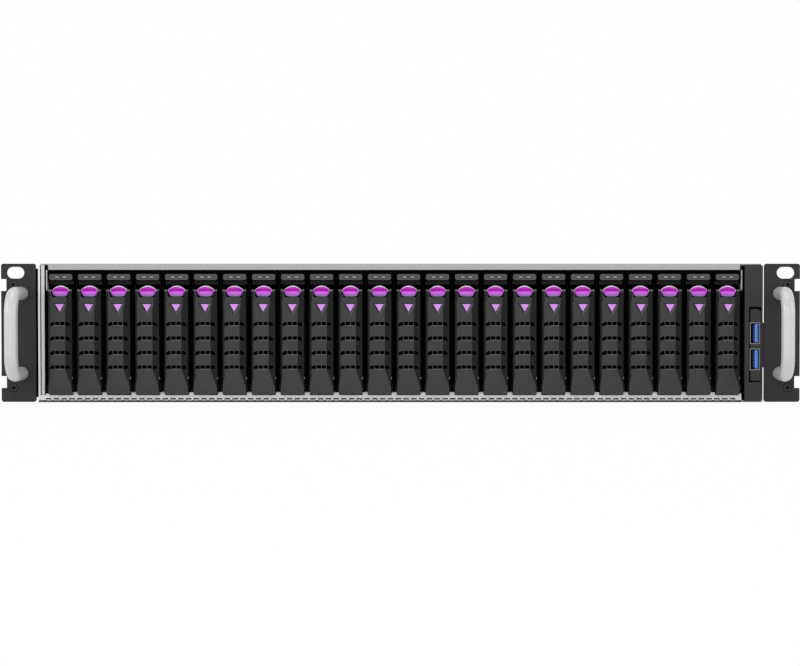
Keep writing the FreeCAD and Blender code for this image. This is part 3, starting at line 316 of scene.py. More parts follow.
@dataclass(frozen=True)
class Finish:
    """One surface finish, made into a material with procedural nodes.

    Args:
        name: name of the material.
        colour: linear base colour.
        roughness: middle roughness.
        metallic: 1 for bare metal.
        texture: what shows from close by.
        spread: swing of the colour, as a share of it.
        scale: cloud or flake scale per metre.
        grain: grain scale per metre.
        bump: strength of the texture's bump.
        dust: amount of dust on faces that look up.
        coat: weight of a clear coat.
        specular: specular level of the shader.
    """

    name: str
    colour: Colour
    roughness: float
    metallic: float = 0.0
    texture: Texture = Texture.GRAIN
    spread: float = 0.08
    scale: float = 60.0
    grain: float = 2600.0
    bump: float = 0.12
    dust: float = 0.0
    coat: float = 0.0
    specular: float = 0.5

    def material(self) -> Material:
        """The finish's material, made on first use."""
        found = bpy.data.materials.get(self.name)
        return found if found else self._build()

    def _build(self) -> Material:
        """Make the material's nodes.

        Returns:
            The material.
        """
        made = bpy.data.materials.new(self.name)
        made.use_nodes = True
        tree = made.node_tree
        shader = tree.nodes["Principled BSDF"]
        shader.inputs["Metallic"].default_value = self.metallic
        shader.inputs["Coat Weight"].default_value = self.coat
        shader.inputs["Specular IOR Level"].default_value = self.specular
        made.diffuse_color = (*self.colour, 1.0)
        tone, height = self._tone(tree)
        self._colour(tree, shader, tone.outputs["Colour"])
        tree.links.new(tone.outputs["Roughness"], shader.inputs["Roughness"])
        if height is not None:
            bump = add_node(tree, "Bump")
            bump.inputs["Strength"].default_value = self.bump
            bump.inputs["Distance"].default_value = BUMP_REACH
            tree.links.new(height, bump.inputs["Height"])
            tree.links.new(bump.outputs["Normal"], shader.inputs["Normal"])
        return made

    def _tone(self, tree: NodeTree) -> tuple[Node, NodeSocket | None]:
        """Place the groups for colour, gloss and height.

        Args:
            tree: the material's node tree.

        Returns:
            The node that gives colour and roughness, and the height socket or nothing.
        """
        values = {"Base": self.colour, "Spread": self.spread, "Scale": self.scale, "Gloss": self.roughness}
        if self.texture is Texture.SPANGLE:
            flakes = self._group(tree, SPANGLE_GROUP, values)
            return flakes, flakes.outputs["Height"]
        gloss_spread = min(GLOSS_LIMIT, self.roughness * GLOSS_SHARE)
        tone = self._group(tree, TONE_GROUP, values | {"Gloss Spread": gloss_spread})
        if self.texture is Texture.SMOOTH:
            return tone, None
        if self.texture is Texture.GRAIN:
            return tone, self._group(tree, GRAIN_GROUP, {"Scale": self.grain}).outputs["Height"]
        across = {"Across " + label: value for label, value in zip("XYZ", DRAWN_SCALES[self.texture])}
        return tone, self._group(tree, BRUSH_GROUP, across).outputs["Height"]

    def _colour(self, tree: NodeTree, shader: Node, tone: NodeSocket) -> None:
        """Lead the colour into the shader, under dust where the finish has any.

        Args:
            tree: the material's node tree.
            shader: the Principled shader.
            tone: the colour socket.
        """
        colour = tone
        if self.dust:
            dust = self._group(tree, DUST_GROUP, {"Amount": self.dust})
            mix = add_node(tree, "Mix", data_type="RGBA")
            tree.links.new(dust.outputs["Mask"], mix.inputs["Factor"])
            tree.links.new(tone, mix.inputs[MIX_FIRST])
            mix.inputs[MIX_SECOND].default_value = (*DUST_COLOUR, 1.0)
            colour = mix.outputs[MIX_RESULT]
        tree.links.new(colour, shader.inputs["Base Color"])

    @staticmethod
    def _group(tree: NodeTree, group: NodeTree,
               values: dict[str, float | Colour]) -> Node:
        """Place a node group and set its inputs.

        Args:
            tree: the material's node tree.
            group: the node group.
            values: input values by name.

        Returns:
            The group node.
        """
        node = add_node(tree, "Group", node_tree=group)
        for label, value in values.items():
            node.inputs[label].default_value = (*value, 1.0) if isinstance(value, tuple) else value
        return node


POWDER_COAT = Finish("black_powder_coat", (0.023, 0.023, 0.0243), 0.55, bump=0.35, grain=1800.0, dust=0.05,
                     specular=0.22)
MOULDED = Finish("black_moulded_plastic", (0.0225, 0.023, 0.0235), 0.4, bump=0.16, grain=3200.0, dust=0.03,
                 specular=0.33)
# Painted shade: a darker copy of the moulded black, on the lever's bevels and soft left edge and on the carrier's
# shelf.
BEVEL_PLASTIC = Finish("matt_bevel_plastic", (0.012, 0.012, 0.0125), 0.6, bump=0.12, grain=3200.0, specular=0.11)
# Painted highlight: a light copy of the moulded black on the ledges under the slots, the shoulders, the facets beside
# the notch and the right wall of the mark's recess.
EDGE_PLASTIC = Finish("polished_edge_plastic", (0.13, 0.13, 0.135), 0.4, bump=0.08, specular=0.3)
PANEL_PLASTIC = Finish("pillar_plastic", (0.023, 0.023, 0.023), 0.5, bump=0.2, grain=2800.0, specular=0.3)
# Painted shade: near-black put on faces that stand in shadow, such as gaps, hollows, recesses and the walls of slots
# and holes.
SHADOW_PLASTIC = Finish("inner_black_plastic", (0.0016, 0.0016, 0.0018), 0.7, bump=0.1, specular=0.01)
# Black carrier plastic, darkened further as painted shade so that the gaps between the levers read black.
CARRIER_PLASTIC = Finish("carrier_black_plastic", (0.0045, 0.0045, 0.005), 0.6, bump=0.1, specular=0.04)
# Painted light on the button's one violet plastic: the scoop darker as painted shade, the dome lighter, the rim a
# painted highlight and the foot a paler painted sheen.
BUTTON_BODY = Finish("violet_button", (0.56, 0.14, 0.74), 0.25, spread=0.04, bump=0.04, specular=0.2)
BUTTON_SCOOP = Finish("violet_scoop", (0.42, 0.017, 0.41), 0.22, spread=0.05, bump=0.03, specular=0.1)
BUTTON_DOME = Finish("violet_dome", (0.52, 0.06, 0.55), 0.22, spread=0.05, bump=0.03, specular=0.15)
BUTTON_RIM = Finish("violet_rim", (0.97, 0.66, 0.98), 0.25, spread=0.03, bump=0.03, specular=0.4)
BUTTON_FOOT = Finish("violet_foot", (0.43, 0.28, 0.62), 0.3, spread=0.05, bump=0.03, specular=0.2)
VIOLET_MARK = Finish("violet_mark", (0.58, 0.27, 0.72), 0.4, spread=0.04, bump=0.05, specular=0.2)
LIGHT_BAR_GREY = Finish("light_bar_grey", (0.066, 0.066, 0.068), 0.38, bump=0.1, specular=0.22)
LIGHT_PIPE = Finish("light_pipe", (0.36, 0.37, 0.36), 0.3, spread=0.05, bump=0.03, specular=0.3)
ZINC = Finish("zinc_sheet_bright", (0.40, 0.40, 0.39), 0.42, metallic=0.35, texture=Texture.SPANGLE, spread=0.10,
              scale=140.0, bump=0.05, dust=0.05, specular=0.3)
LIP_ZINC = Finish("zinc_lip", (0.38, 0.38, 0.37), 0.45, metallic=0.25, texture=Texture.DRAWN_X, spread=0.06, bump=0.1,
                  specular=0.2)
# Painted light: a brighter copy of the zinc for the tray's front lip, its sill and its tabs, standing for light
# thrown up from the floor.
FOOT_ZINC = Finish("zinc_foot_lip", (0.68, 0.68, 0.66), 0.42, metallic=0.3, texture=Texture.DRAWN_X, spread=0.06,
                   bump=0.1, specular=0.25)
# Painted light: a brighter copy of the zinc on the cage's left flange at the front.
FLANGE_ZINC = Finish("zinc_flange", (0.54, 0.54, 0.53), 0.42, metallic=0.3, texture=Texture.DRAWN_Z, spread=0.06,
                     bump=0.1, specular=0.25)
# Painted shade along the foot of the tray's lip.
CUT_EDGE = Finish("zinc_cut_edge", (0.07, 0.066, 0.061), 0.5, metallic=0.3, bump=0.1, specular=0.15)
SATIN = Finish("satin_rod", (0.55, 0.55, 0.545), 0.34, metallic=0.3, texture=Texture.DRAWN_Z, spread=0.05,
               bump=0.08, specular=0.2)
TIN = Finish("tin_port_shell", (0.18, 0.18, 0.176), 0.35, metallic=0.7, texture=Texture.DRAWN_Z, spread=0.08)
PORT_BLUE = Finish("port_blue", (0.03, 0.11, 0.50), 0.3, spread=0.06, bump=0.05, specular=0.4)
# Painted highlight on the fronts of the blue tongues and on their contact strips.
PORT_SHINE = Finish("port_tongue_face", (0.10, 0.22, 0.60), 0.25, spread=0.2, scale=900.0, bump=0.05, specular=0.5)
# Painted shade down the left side of each blue tongue.
PORT_DEEP = Finish("port_tongue_side", (0.008, 0.02, 0.11), 0.35, spread=0.1, bump=0.05, specular=0.2)
# Painted shade: dark navy inside the port shells.
PORT_NAVY = Finish("port_inside", (0.004, 0.006, 0.02), 0.4, spread=0.1, bump=0.05, specular=0.08)
CONTACT = Finish("gold_contact", (0.42, 0.29, 0.11), 0.25, metallic=1.0, texture=Texture.SMOOTH)
SCREW_STEEL = Finish("dark_screw_steel", (0.034, 0.034, 0.035), 0.4, metallic=0.4, spread=0.15, bump=0.08,
                     specular=0.3)
BARE_STEEL = Finish("bare_steel", (0.40, 0.40, 0.39), 0.35, metallic=0.8, texture=Texture.DRAWN_X, spread=0.1)
BOARD_GREEN = Finish("board_green", (0.012, 0.075, 0.03), 0.35, spread=0.25, scale=220.0, bump=0.08, coat=0.3)
SOCKET_BLACK = Finish("socket_plastic", (0.02, 0.02, 0.022), 0.45, bump=0.1, specular=0.3)
SOCKET_BLUE = Finish("socket_blue", (0.02, 0.10, 0.34), 0.4, bump=0.1, specular=0.3)
FIN_METAL = Finish("fin_aluminium", (0.45, 0.45, 0.44), 0.33, metallic=0.9, texture=Texture.DRAWN_Z, spread=0.06)
SUPPLY_METAL = Finish("supply_case", (0.36, 0.36, 0.355), 0.4, metallic=0.6, texture=Texture.SPANGLE, spread=0.08,
                      scale=220.0, bump=0.04)
LATCH_PURPLE = Finish("latch_violet", (0.30, 0.04, 0.38), 0.3, spread=0.05, bump=0.06, specular=0.3)
SHROUD = Finish("smoked_shroud", (0.03, 0.032, 0.035), 0.28, spread=0.06, bump=0.06, coat=0.2)
FAN_BLACK = Finish("fan_plastic", (0.022, 0.022, 0.024), 0.36, bump=0.12, specular=0.3)


# Mesh tools


class Axis(Enum):
    """Axis along which an outline is drawn out: which coordinates it gives."""

    X = (1, 2, 0)
    Y = (0, 2, 1)
    Z = (0, 1, 2)


class Mesher:
    """Collects the faces of one piece, in millimetres, each with the index of its finish."""

    def __init__(self) -> None:
        """Start with no faces."""
        self.work = bmesh.new()

    def face(self, points: Sequence[Point3], finish: int = 0) -> None:
        """Add one face from its corner points."""
        made = self.work.faces.new([self.work.verts.new(point) for point in points])
        made.material_index = finish

    def prism(self, outline: Sequence[Point2], axis: Axis, start: float, end: float, finish: int = 0) -> None:
        """Draw an outline, given in the two other coordinates, out along an axis."""
        self.loft([self.lift(outline, axis, start), self.lift(outline, axis, end)], finish)

    def slab(self, outline: Sequence[Point2], front: float, back: float, finish: int = 0) -> None:
        """Draw an upright outline out from one depth behind the ear plane to another."""
        self.prism(outline, Axis.Y, depth(front), depth(back), finish)

    def box(self, x: Point2, depths: Point2, z: Point2, finish: int = 0) -> None:
        """Add a block between two limits across, in depth and up."""
        self.slab(rectangle(x, z), *depths, finish)

    @staticmethod
    def lift(outline: Sequence[Point2], axis: Axis, at: float) -> list[Point3]:
        """Put a flat outline at one place along an axis.

        Args:
            outline: points in the two other coordinates.
            axis: the axis.
            at: place along it.

        Returns:
            The points in space.
        """
        first, second, along = axis.value
        points = []
        for a, b in outline:
            point = [0.0, 0.0, 0.0]
            point[first], point[second], point[along] = a, b, at
            points.append(tuple(point))
        return points

    def loft(self, sections: Sequence[Sequence[Point3]], finish: int = 0, caps: bool = True) -> None:
        """Skin closed sections of equal length.

        Args:
            sections: rings of points.
            finish: finish index of the faces.
            caps: whether the first and last ring are closed.
        """
        rings = [[self.work.verts.new(point) for point in ring] for ring in sections]
        made = []
        for low, high in zip(rings, rings[1:]):
            for index in range(len(low)):
                after = (index + 1) % len(low)
                made.append(self.work.faces.new((low[index], low[after], high[after], high[index])))
        if caps:
            made.append(self.work.faces.new(list(reversed(rings[0]))))
            made.append(self.work.faces.new(rings[-1]))
        for face in made:
            face.material_index = finish

    def turned(self, centre: Point3, axis: Axis, profile: Sequence[Point2], sides: int, finish: int = 0,
               closed: bool = False) -> None:
        """Turn a profile round an axis.

        Args:
            centre: point on the axis.
            axis: the axis.
            profile: radius and place along the axis, point by point.
            sides: number of facets.
            finish: finish index of the faces.
            closed: whether the profile runs back to its start, as for a ring.
        """
        first, second, along = axis.value
        rings = []
        for radius, shift in profile:
            ring = []
            for side in range(sides):
                angle = 2 * math.pi * side / sides
                point = list(centre)
                point[first] += radius * math.cos(angle)
                point[second] += radius * math.sin(angle)
                point[along] += shift
                ring.append(tuple(point))
            rings.append(ring)
        if closed:
            rings.append(rings[0])
        self.loft(rings, finish, caps=not closed)

    def grid(self, rows: Sequence[Sequence[Point3]], finish: Callable[[int, int], int]) -> None:
        """Skin an open sheet of points.

        Args:
            rows: rows of points of equal length.
            finish: picks the finish index of a face from its row and its column.
        """
        lines = [[self.work.verts.new(point) for point in row] for row in rows]
        for number, (low, high) in enumerate(zip(lines, lines[1:])):
            for index in range(len(low) - 1):
                made = self.work.faces.new((low[index], low[index + 1], high[index + 1], high[index]))
                made.material_index = finish(number, index)

    def close_back(self, back: float) -> None:
        """Draw the open rim of a sheet back to one depth and close it there.

        Args:
            back: depth behind the ear plane.
        """
        bmesh.ops.remove_doubles(self.work, verts=self.work.verts, dist=0.0005)
        rim = [edge for edge in self.work.edges if edge.is_boundary]
        for made in bmesh.ops.extrude_edge_only(self.work, edges=rim)["geom"]:
            if isinstance(made, bmesh.types.BMVert):
                made.co.y = depth(back)
        rim = [edge for edge in self.work.edges if edge.is_boundary]
        bmesh.ops.holes_fill(self.work, edges=rim, sides=0)

    def mesh(self, name: str, finishes: Sequence[Finish], smooth: float = 30.0) -> Mesh:
        """Turn what was collected into a mesh in metres.

        Args:
            name: name of the mesh.
            finishes: finishes by index.
            smooth: edges under this many degrees shade smoothly.

        Returns:
            The mesh.
        """
        bmesh.ops.remove_doubles(self.work, verts=self.work.verts, dist=0.001)
        bmesh.ops.recalc_face_normals(self.work, faces=self.work.faces)
        bmesh.ops.scale(self.work, vec=(MM, MM, MM), verts=self.work.verts)
        made = bpy.data.meshes.new(name)
        self.work.to_mesh(made)
        self.work.free()
        add_finishes(made, finishes)
        shade(made, smooth)
        return made


def add_finishes(mesh: Mesh, finishes: Sequence[Finish]) -> None:
    """Add the materials of finishes to a mesh."""
    for finish in finishes:
        mesh.materials.append(finish.material())


def shade(mesh: Mesh, degrees: float) -> None:
    """Shade a mesh smoothly across edges under an angle."""
    mesh.shade_smooth()
    mesh.set_sharp_from_angle(angle=math.radians(degrees))


def rectangle(x: Point2, z: Point2) -> list[Point2]:
    """Outline of a rectangle between two limits across and up."""
    return [(x[0], z[0]), (x[1], z[0]), (x[1], z[1]), (x[0], z[1])]


def rounded(width: float, height: float, radius: float, centre: Point2 = (0.0, 0.0), steps: int = 4) -> list[Point2]:
    """Outline of a rectangle with round corners.

    Args:
        width: full width.
        height: full height.
        radius: corner radius.
        centre: middle of the rectangle.
        steps: facets in each corner.

    Returns:
        Corner points, counter-clockwise.
    """
    points = []
    for corner, (sx, sz) in enumerate(((1, 1), (-1, 1), (-1, -1), (1, -1))):
        for step in range(steps + 1):
            angle = math.pi / 2 * (corner + step / steps)
            points.append((centre[0] + sx * (width / 2 - radius) + radius * math.cos(angle),
                           centre[1] + sz * (height / 2 - radius) + radius * math.sin(angle)))
    return points


def cross_outline(centre: Point2, long: float, short: float) -> list[Point2]:
    """Outline of a cross-shaped driver recess.

    Args:
        centre: middle of the cross.
        long: reach of each arm.
        short: half the width of an arm.

    Returns:
        The twelve corners.
    """
    corners = [(long, -short), (long, short), (short, short), (short, long), (-short, long), (-short, short),
               (-long, short), (-long, -short), (-short, -short), (-short, -long), (short, -long), (short, -short)]
    return [(centre[0] + a, centre[1] + b) for a, b in corners]


def carve(base: Mesh, cutter: Mesher, smooth: float = 30.0) -> Mesh:
    """Cut a closed shape out of a mesh.

    Args:
        base: the mesh that is cut; its name passes to the result.
        cutter: the shape that is taken away, with finish indexes of the base.
        smooth: edges under this many degrees shade smoothly.

    Returns:
        The cut mesh.
    """
    shape = cutter.mesh("cutter", ())
    for material in base.materials:
        shape.materials.append(material)
    body = bpy.data.objects.new("carve_body", base)
    tool = bpy.data.objects.new("carve_tool", shape)
    for made in (body, tool):
        bpy.context.scene.collection.objects.link(made)
    change = body.modifiers.new("carve", "BOOLEAN")
    change.operation = "DIFFERENCE"
    change.solver = "EXACT"
    change.object = tool
    graph = bpy.context.evaluated_depsgraph_get()
    result = bpy.data.meshes.new_from_object(body.evaluated_get(graph))
    name = base.name
    for made, mesh in ((body, base), (tool, shape)):
        bpy.data.objects.remove(made)
        bpy.data.meshes.remove(mesh)
    result.name = name
    shade(result, smooth)
    return result


def soften(piece: Object, width: float, segments: int = 2, weld: bool = False) -> Object:
    """Round a piece's sharp edges with a bevel.

    Args:
        piece: the object.
        width: bevel width in millimetres.
        segments: facets across the bevel.
        weld: whether face corners are joined first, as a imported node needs.

    Returns:
        The object.
    """
    if weld:
        join = piece.modifiers.new("join_corners", "WELD")
        join.merge_threshold = WELD_REACH
        flat = piece.modifiers.new("one_face_per_plane", "DECIMATE")
        flat.decimate_type = "DISSOLVE"
        flat.angle_limit = FLAT_ANGLE
    edge = piece.modifiers.new("round_edges", "BEVEL")
    edge.width = width * MM
    edge.segments = segments
    edge.limit_method = "ANGLE"
    edge.angle_limit = math.radians(35)
    edge.harden_normals = True
    edge.use_clamp_overlap = True
    return piece


def place(name: str, mesh: Mesh, body: str, x: float = 0.0,
          instead_of: Iterable[str] = ()) -> Object:
    """Put a piece in the scene on its body.

    Args:
        name: piece name.
        mesh: its mesh, which may be shared.
        body: the frame's body that it moves with.
        x: shift across the rack in millimetres.
        instead_of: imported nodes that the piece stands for.

    Returns:
        The object.
    """
    piece = bpy.data.objects.new(name, mesh)
    piece.location.x = x * MM
    bpy.context.scene.collection.objects.link(piece)
    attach(piece, body)
    if instead_of:
        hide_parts(*instead_of)
    LOG.info("piece %s on %s", name, body)
    return piece


FAR = 1000.0
ANYWHERE = (-FAR, FAR)


@dataclass(frozen=True)
class Zone:
    """Faces of a piece that share a finish, by the place of their middle in millimetres.

    Args:
        finish: finish index.
        x: limits across.
        depths: limits behind the ear plane.
        z: limits up.
        facing: least part of the normal that points forward.
    """

    finish: int
    x: Point2 = ANYWHERE
    depths: Point2 = ANYWHERE
    z: Point2 = ANYWHERE
    facing: float = -FAR

    def holds(self, face: MeshPolygon) -> bool:
        """Tell whether a face lies in the zone.

        Args:
            face: a face in the frame's place.

        Returns:
            Whether it does.
        """
        middle = face.center / MM
        places = (middle.x, middle.y - EAR_PLANE, middle.z)
        inside = all(low < at < high for at, (low, high) in zip(places, (self.x, self.depths, self.z)))
        return inside and -face.normal.y > self.facing


def paint(mesh: Mesh, zones: Sequence[Zone]) -> None:
    """Give each face the finish of the first zone that holds it; other faces keep theirs."""
    for face in mesh.polygons:
        face.material_index = next((zone.finish for zone in zones if zone.holds(face)), face.material_index)


def dress(node: str, finishes: Sequence[Finish], zones: Sequence[Zone] = ()) -> Object:
    """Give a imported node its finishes.

    Args:
        node: node name.
        finishes: finishes by index.
        zones: faces with another finish than the first.

    Returns:
        The node's object.
    """
    piece = NODES[node]
    piece.data.materials.clear()
    add_finishes(piece.data, finishes)
    paint(piece.data, [*zones, Zone(0)])
    LOG.info("node %s in %s", node, finishes[0].name)
    return piece


def recast(node: str, finishes: Sequence[Finish]) -> Mesh:
    """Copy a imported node's shape, with one face per plane, to take cut details.

    Args:
        node: node name.
        finishes: finishes by index.

    Returns:
        The new mesh.
    """
    work = bmesh.new()
    work.from_mesh(NODES[node].data)
    bmesh.ops.remove_doubles(work, verts=work.verts, dist=WELD_REACH)
    bmesh.ops.dissolve_limit(work, angle_limit=FLAT_ANGLE, verts=work.verts, edges=work.edges)
    for face in work.faces:
        face.material_index = 0
    made = bpy.data.meshes.new(node + "_recast")
    work.to_mesh(made)
    work.free()
    if "custom_normal" in made.attributes:
        made.attributes.remove(made.attributes["custom_normal"])
    add_finishes(made, finishes)
    return made


def merge(meshes: Sequence[Mesh]) -> Mesh:
    """Join meshes that list the same finishes into the first one.

    Args:
        meshes: meshes with equal finish lists; all but the first are removed.

    Returns:
        The first mesh, with all faces.
    """
    work = bmesh.new()
    for mesh in meshes:
        work.from_mesh(mesh)
    work.to_mesh(meshes[0])
    work.free()
    for mesh in meshes[1:]:
        bpy.data.meshes.remove(mesh)
    return meshes[0]


def blend_between(low: float, high: float, value: float) -> float:
    """Share of the way from low to high, held between 0 and 1."""
    return max(0.0, min(1.0, (value - low) / (high - low)))


# Drive bays


class CarrierSkin(IntEnum):
    """Finishes of a carrier, by index: the frame plastic is darkened partly as painted shade, and the front and shelf
    finishes are painted shade.
    """

    FRAME, BLANK, FRONT, SHELF = range(4)


@dataclass
class CarrierFrame:
    """Moulded carrier: bezel with a latch recess, two rails, lever cheeks and the blank drive."""

    width: float = 16.4
    keel_width: float = 14.1
    keel_height: float = 1.9
    foot: float = 5.0
    top: float = 79.0
    front: float = -0.8
    clear_front: float = -6.0
    bezel_back: float = 8.0
    rear: float = 130.2
    rail: float = 2.0
    relief: float = 1.45
    step: float = 13.0
    recess_foot: float = 62.7
    recess_top: float = 73.5
    recess_back: float = 7.4
    shelf_half: float = 7.2
    shelf_foot: float = 71.2
    shelf_front: float = 3.0
    header_front: float = 0.6
    window_half: float = 5.85
    window_heights: Point2 = (19.5, 49.72)
    cheek: float = 0.85
    cheek_depths: Point2 = (-4.05, 2.3)
    cheek_heights: Point2 = (7.15, 11.25)
    blank_half: float = 7.05
    blank_heights: Point2 = (7.3, 76.7)
    blank_depth: float = 118.0
    blank_edge: float = 7.0
    pockets: int = 3
    pocket_sink: float = 1.2

    def mesh(self) -> Mesh:
        """Mesh of the carrier with its blank.

        Returns:
            The mesh.
        """
        finishes = [CARRIER_PLASTIC, MOULDED, SHADOW_PLASTIC, BEVEL_PLASTIC]
        inner_foot, inner_top = self.foot + self.rail, self.top - self.rail
        outline = [
            (self.relief, self.foot), (self.rear, self.foot), (self.rear, inner_foot), (self.bezel_back, inner_foot),
            (self.bezel_back, inner_top), (self.rear, inner_top), (self.rear, self.top),
            (self.header_front, self.top), (self.header_front, self.recess_top), (self.recess_back, self.recess_top),
            (self.recess_back, self.recess_foot), (self.front, self.recess_foot), (self.front, self.step),
            (self.relief, self.step),
        ]
        half = self.width / 2
        body, cutter, extra = Mesher(), Mesher(), Mesher()
        body.prism([(depth(d), z) for d, z in outline], Axis.X, -half, half)
        # Shelf under the light bar, in the darker bevel copy of the moulded black as painted shade.
        extra.box(around(0.0, self.shelf_half), (self.shelf_front, self.recess_back),
                  (self.shelf_foot, self.recess_top), CarrierSkin.SHELF)
        for side in SIDES:
            cutter.box(span(side * self.keel_width / 2, side * (half + 1)), (self.clear_front, self.rear + 1),
                       (self.foot - 1, self.foot + self.keel_height))
            extra.box(span(side * (half - self.cheek), side * half), self.cheek_depths, self.cheek_heights)
        cutter.box(around(0.0, self.window_half), (self.clear_front, self.bezel_back + 1), self.window_heights)
        base = carve(body.mesh("carrier_frame", finishes), cutter)
        # Painted shade: faces of the frame that look forward turn near-black, so the gaps between the levers read
        # dark.
        paint(base, [Zone(CarrierSkin.FRONT, facing=0.5)])
        return merge([base, extra.mesh("cheeks", finishes), self.blank_mesh(finishes)])

    def blank_mesh(self, finishes: Sequence[Finish]) -> Mesh:
        """Mesh of the blank drive, with sunk panels in both sides.

        Args:
            finishes: the carrier's finishes.

        Returns:
            The mesh.
        """
        low, high = self.blank_heights
        edge, start = self.blank_edge, self.bezel_back
        blank, cutter = Mesher(), Mesher()
        blank.box(around(0.0, self.blank_half), (start, start + self.blank_depth), (low, high), CarrierSkin.BLANK)
        pitch = (self.blank_depth - edge) / self.pockets
        for side in SIDES:
            sunk = span(side * (self.blank_half - self.pocket_sink), side * (self.blank_half + 1))
            for number in range(self.pockets):
                at = start + edge + number * pitch
                cutter.box(sunk, (at, at + pitch - edge), (low + edge, high - edge))
        made = carve(blank.mesh("drive_blank", finishes), cutter)
        # Painted shade on the faces of the blank that look forward.
        paint(made, [Zone(CarrierSkin.FRONT, depths=(-FAR, start + 1), facing=0.5)])
        return made


@dataclass
class LightBar:
    """Grey bar at the head of a carrier, with two lozenge windows for the activity lights."""

    width: float = 13.9
    height: float = 3.6
    middle: float = 75.7
    front: float = -0.8
    back: float = 0.6
    corner: float = 1.1
    window_offset: float = 2.3
    window: Point2 = (3.6, 1.3)
    window_sink: float = 0.3
    pipe: Point2 = (2.8, 0.7)
    pipe_sink: float = 0.06

    def lozenge(self, middle: float, size: Point2) -> list[Point2]:
        """Outline of a window with pointed ends.

        Args:
            middle: its middle across.
            size: width and height.

        Returns:
            The six corners.
        """
        half, rise = size[0] / 2, size[1] / 2
        shape = [(-half, 0.0), (rise - half, -rise), (half - rise, -rise), (half, 0.0), (half - rise, rise),
                 (rise - half, rise)]
        return [(middle + x, self.middle + z) for x, z in shape]

    def mesh(self) -> Mesh:
        """Mesh of the bar with its windows.

        Returns:
            The mesh.
        """
        finishes = [LIGHT_BAR_GREY, SHADOW_PLASTIC, LIGHT_PIPE]
        bar, cutter, pipes = Mesher(), Mesher(), Mesher()
        bar.slab(rounded(self.width, self.height, self.corner, (0.0, self.middle)), self.front, self.back)
        floor = self.front + self.window_sink
        for side in SIDES:
            at = side * self.window_offset
            # Painted shade on the walls and floor of each window's recess round its light pipe.
            cutter.slab(self.lozenge(at, self.window), self.front - 1, floor, 1)
            pipes.slab(self.lozenge(at, self.pipe), self.front + self.pipe_sink, floor, 2)
        return merge([carve(bar.mesh("light_bar", finishes), cutter), pipes.mesh("light_pipes", finishes)])


class LeverSkin(IntEnum):
    """Finishes of a lever, by index: the slot finish is painted shade on the slot walls and round the mark, the bevel
    finish is painted shade and the edge finish is a painted highlight.
    """

    BODY, SLOT, MARK, PIN, BEVEL, EDGE = range(6)


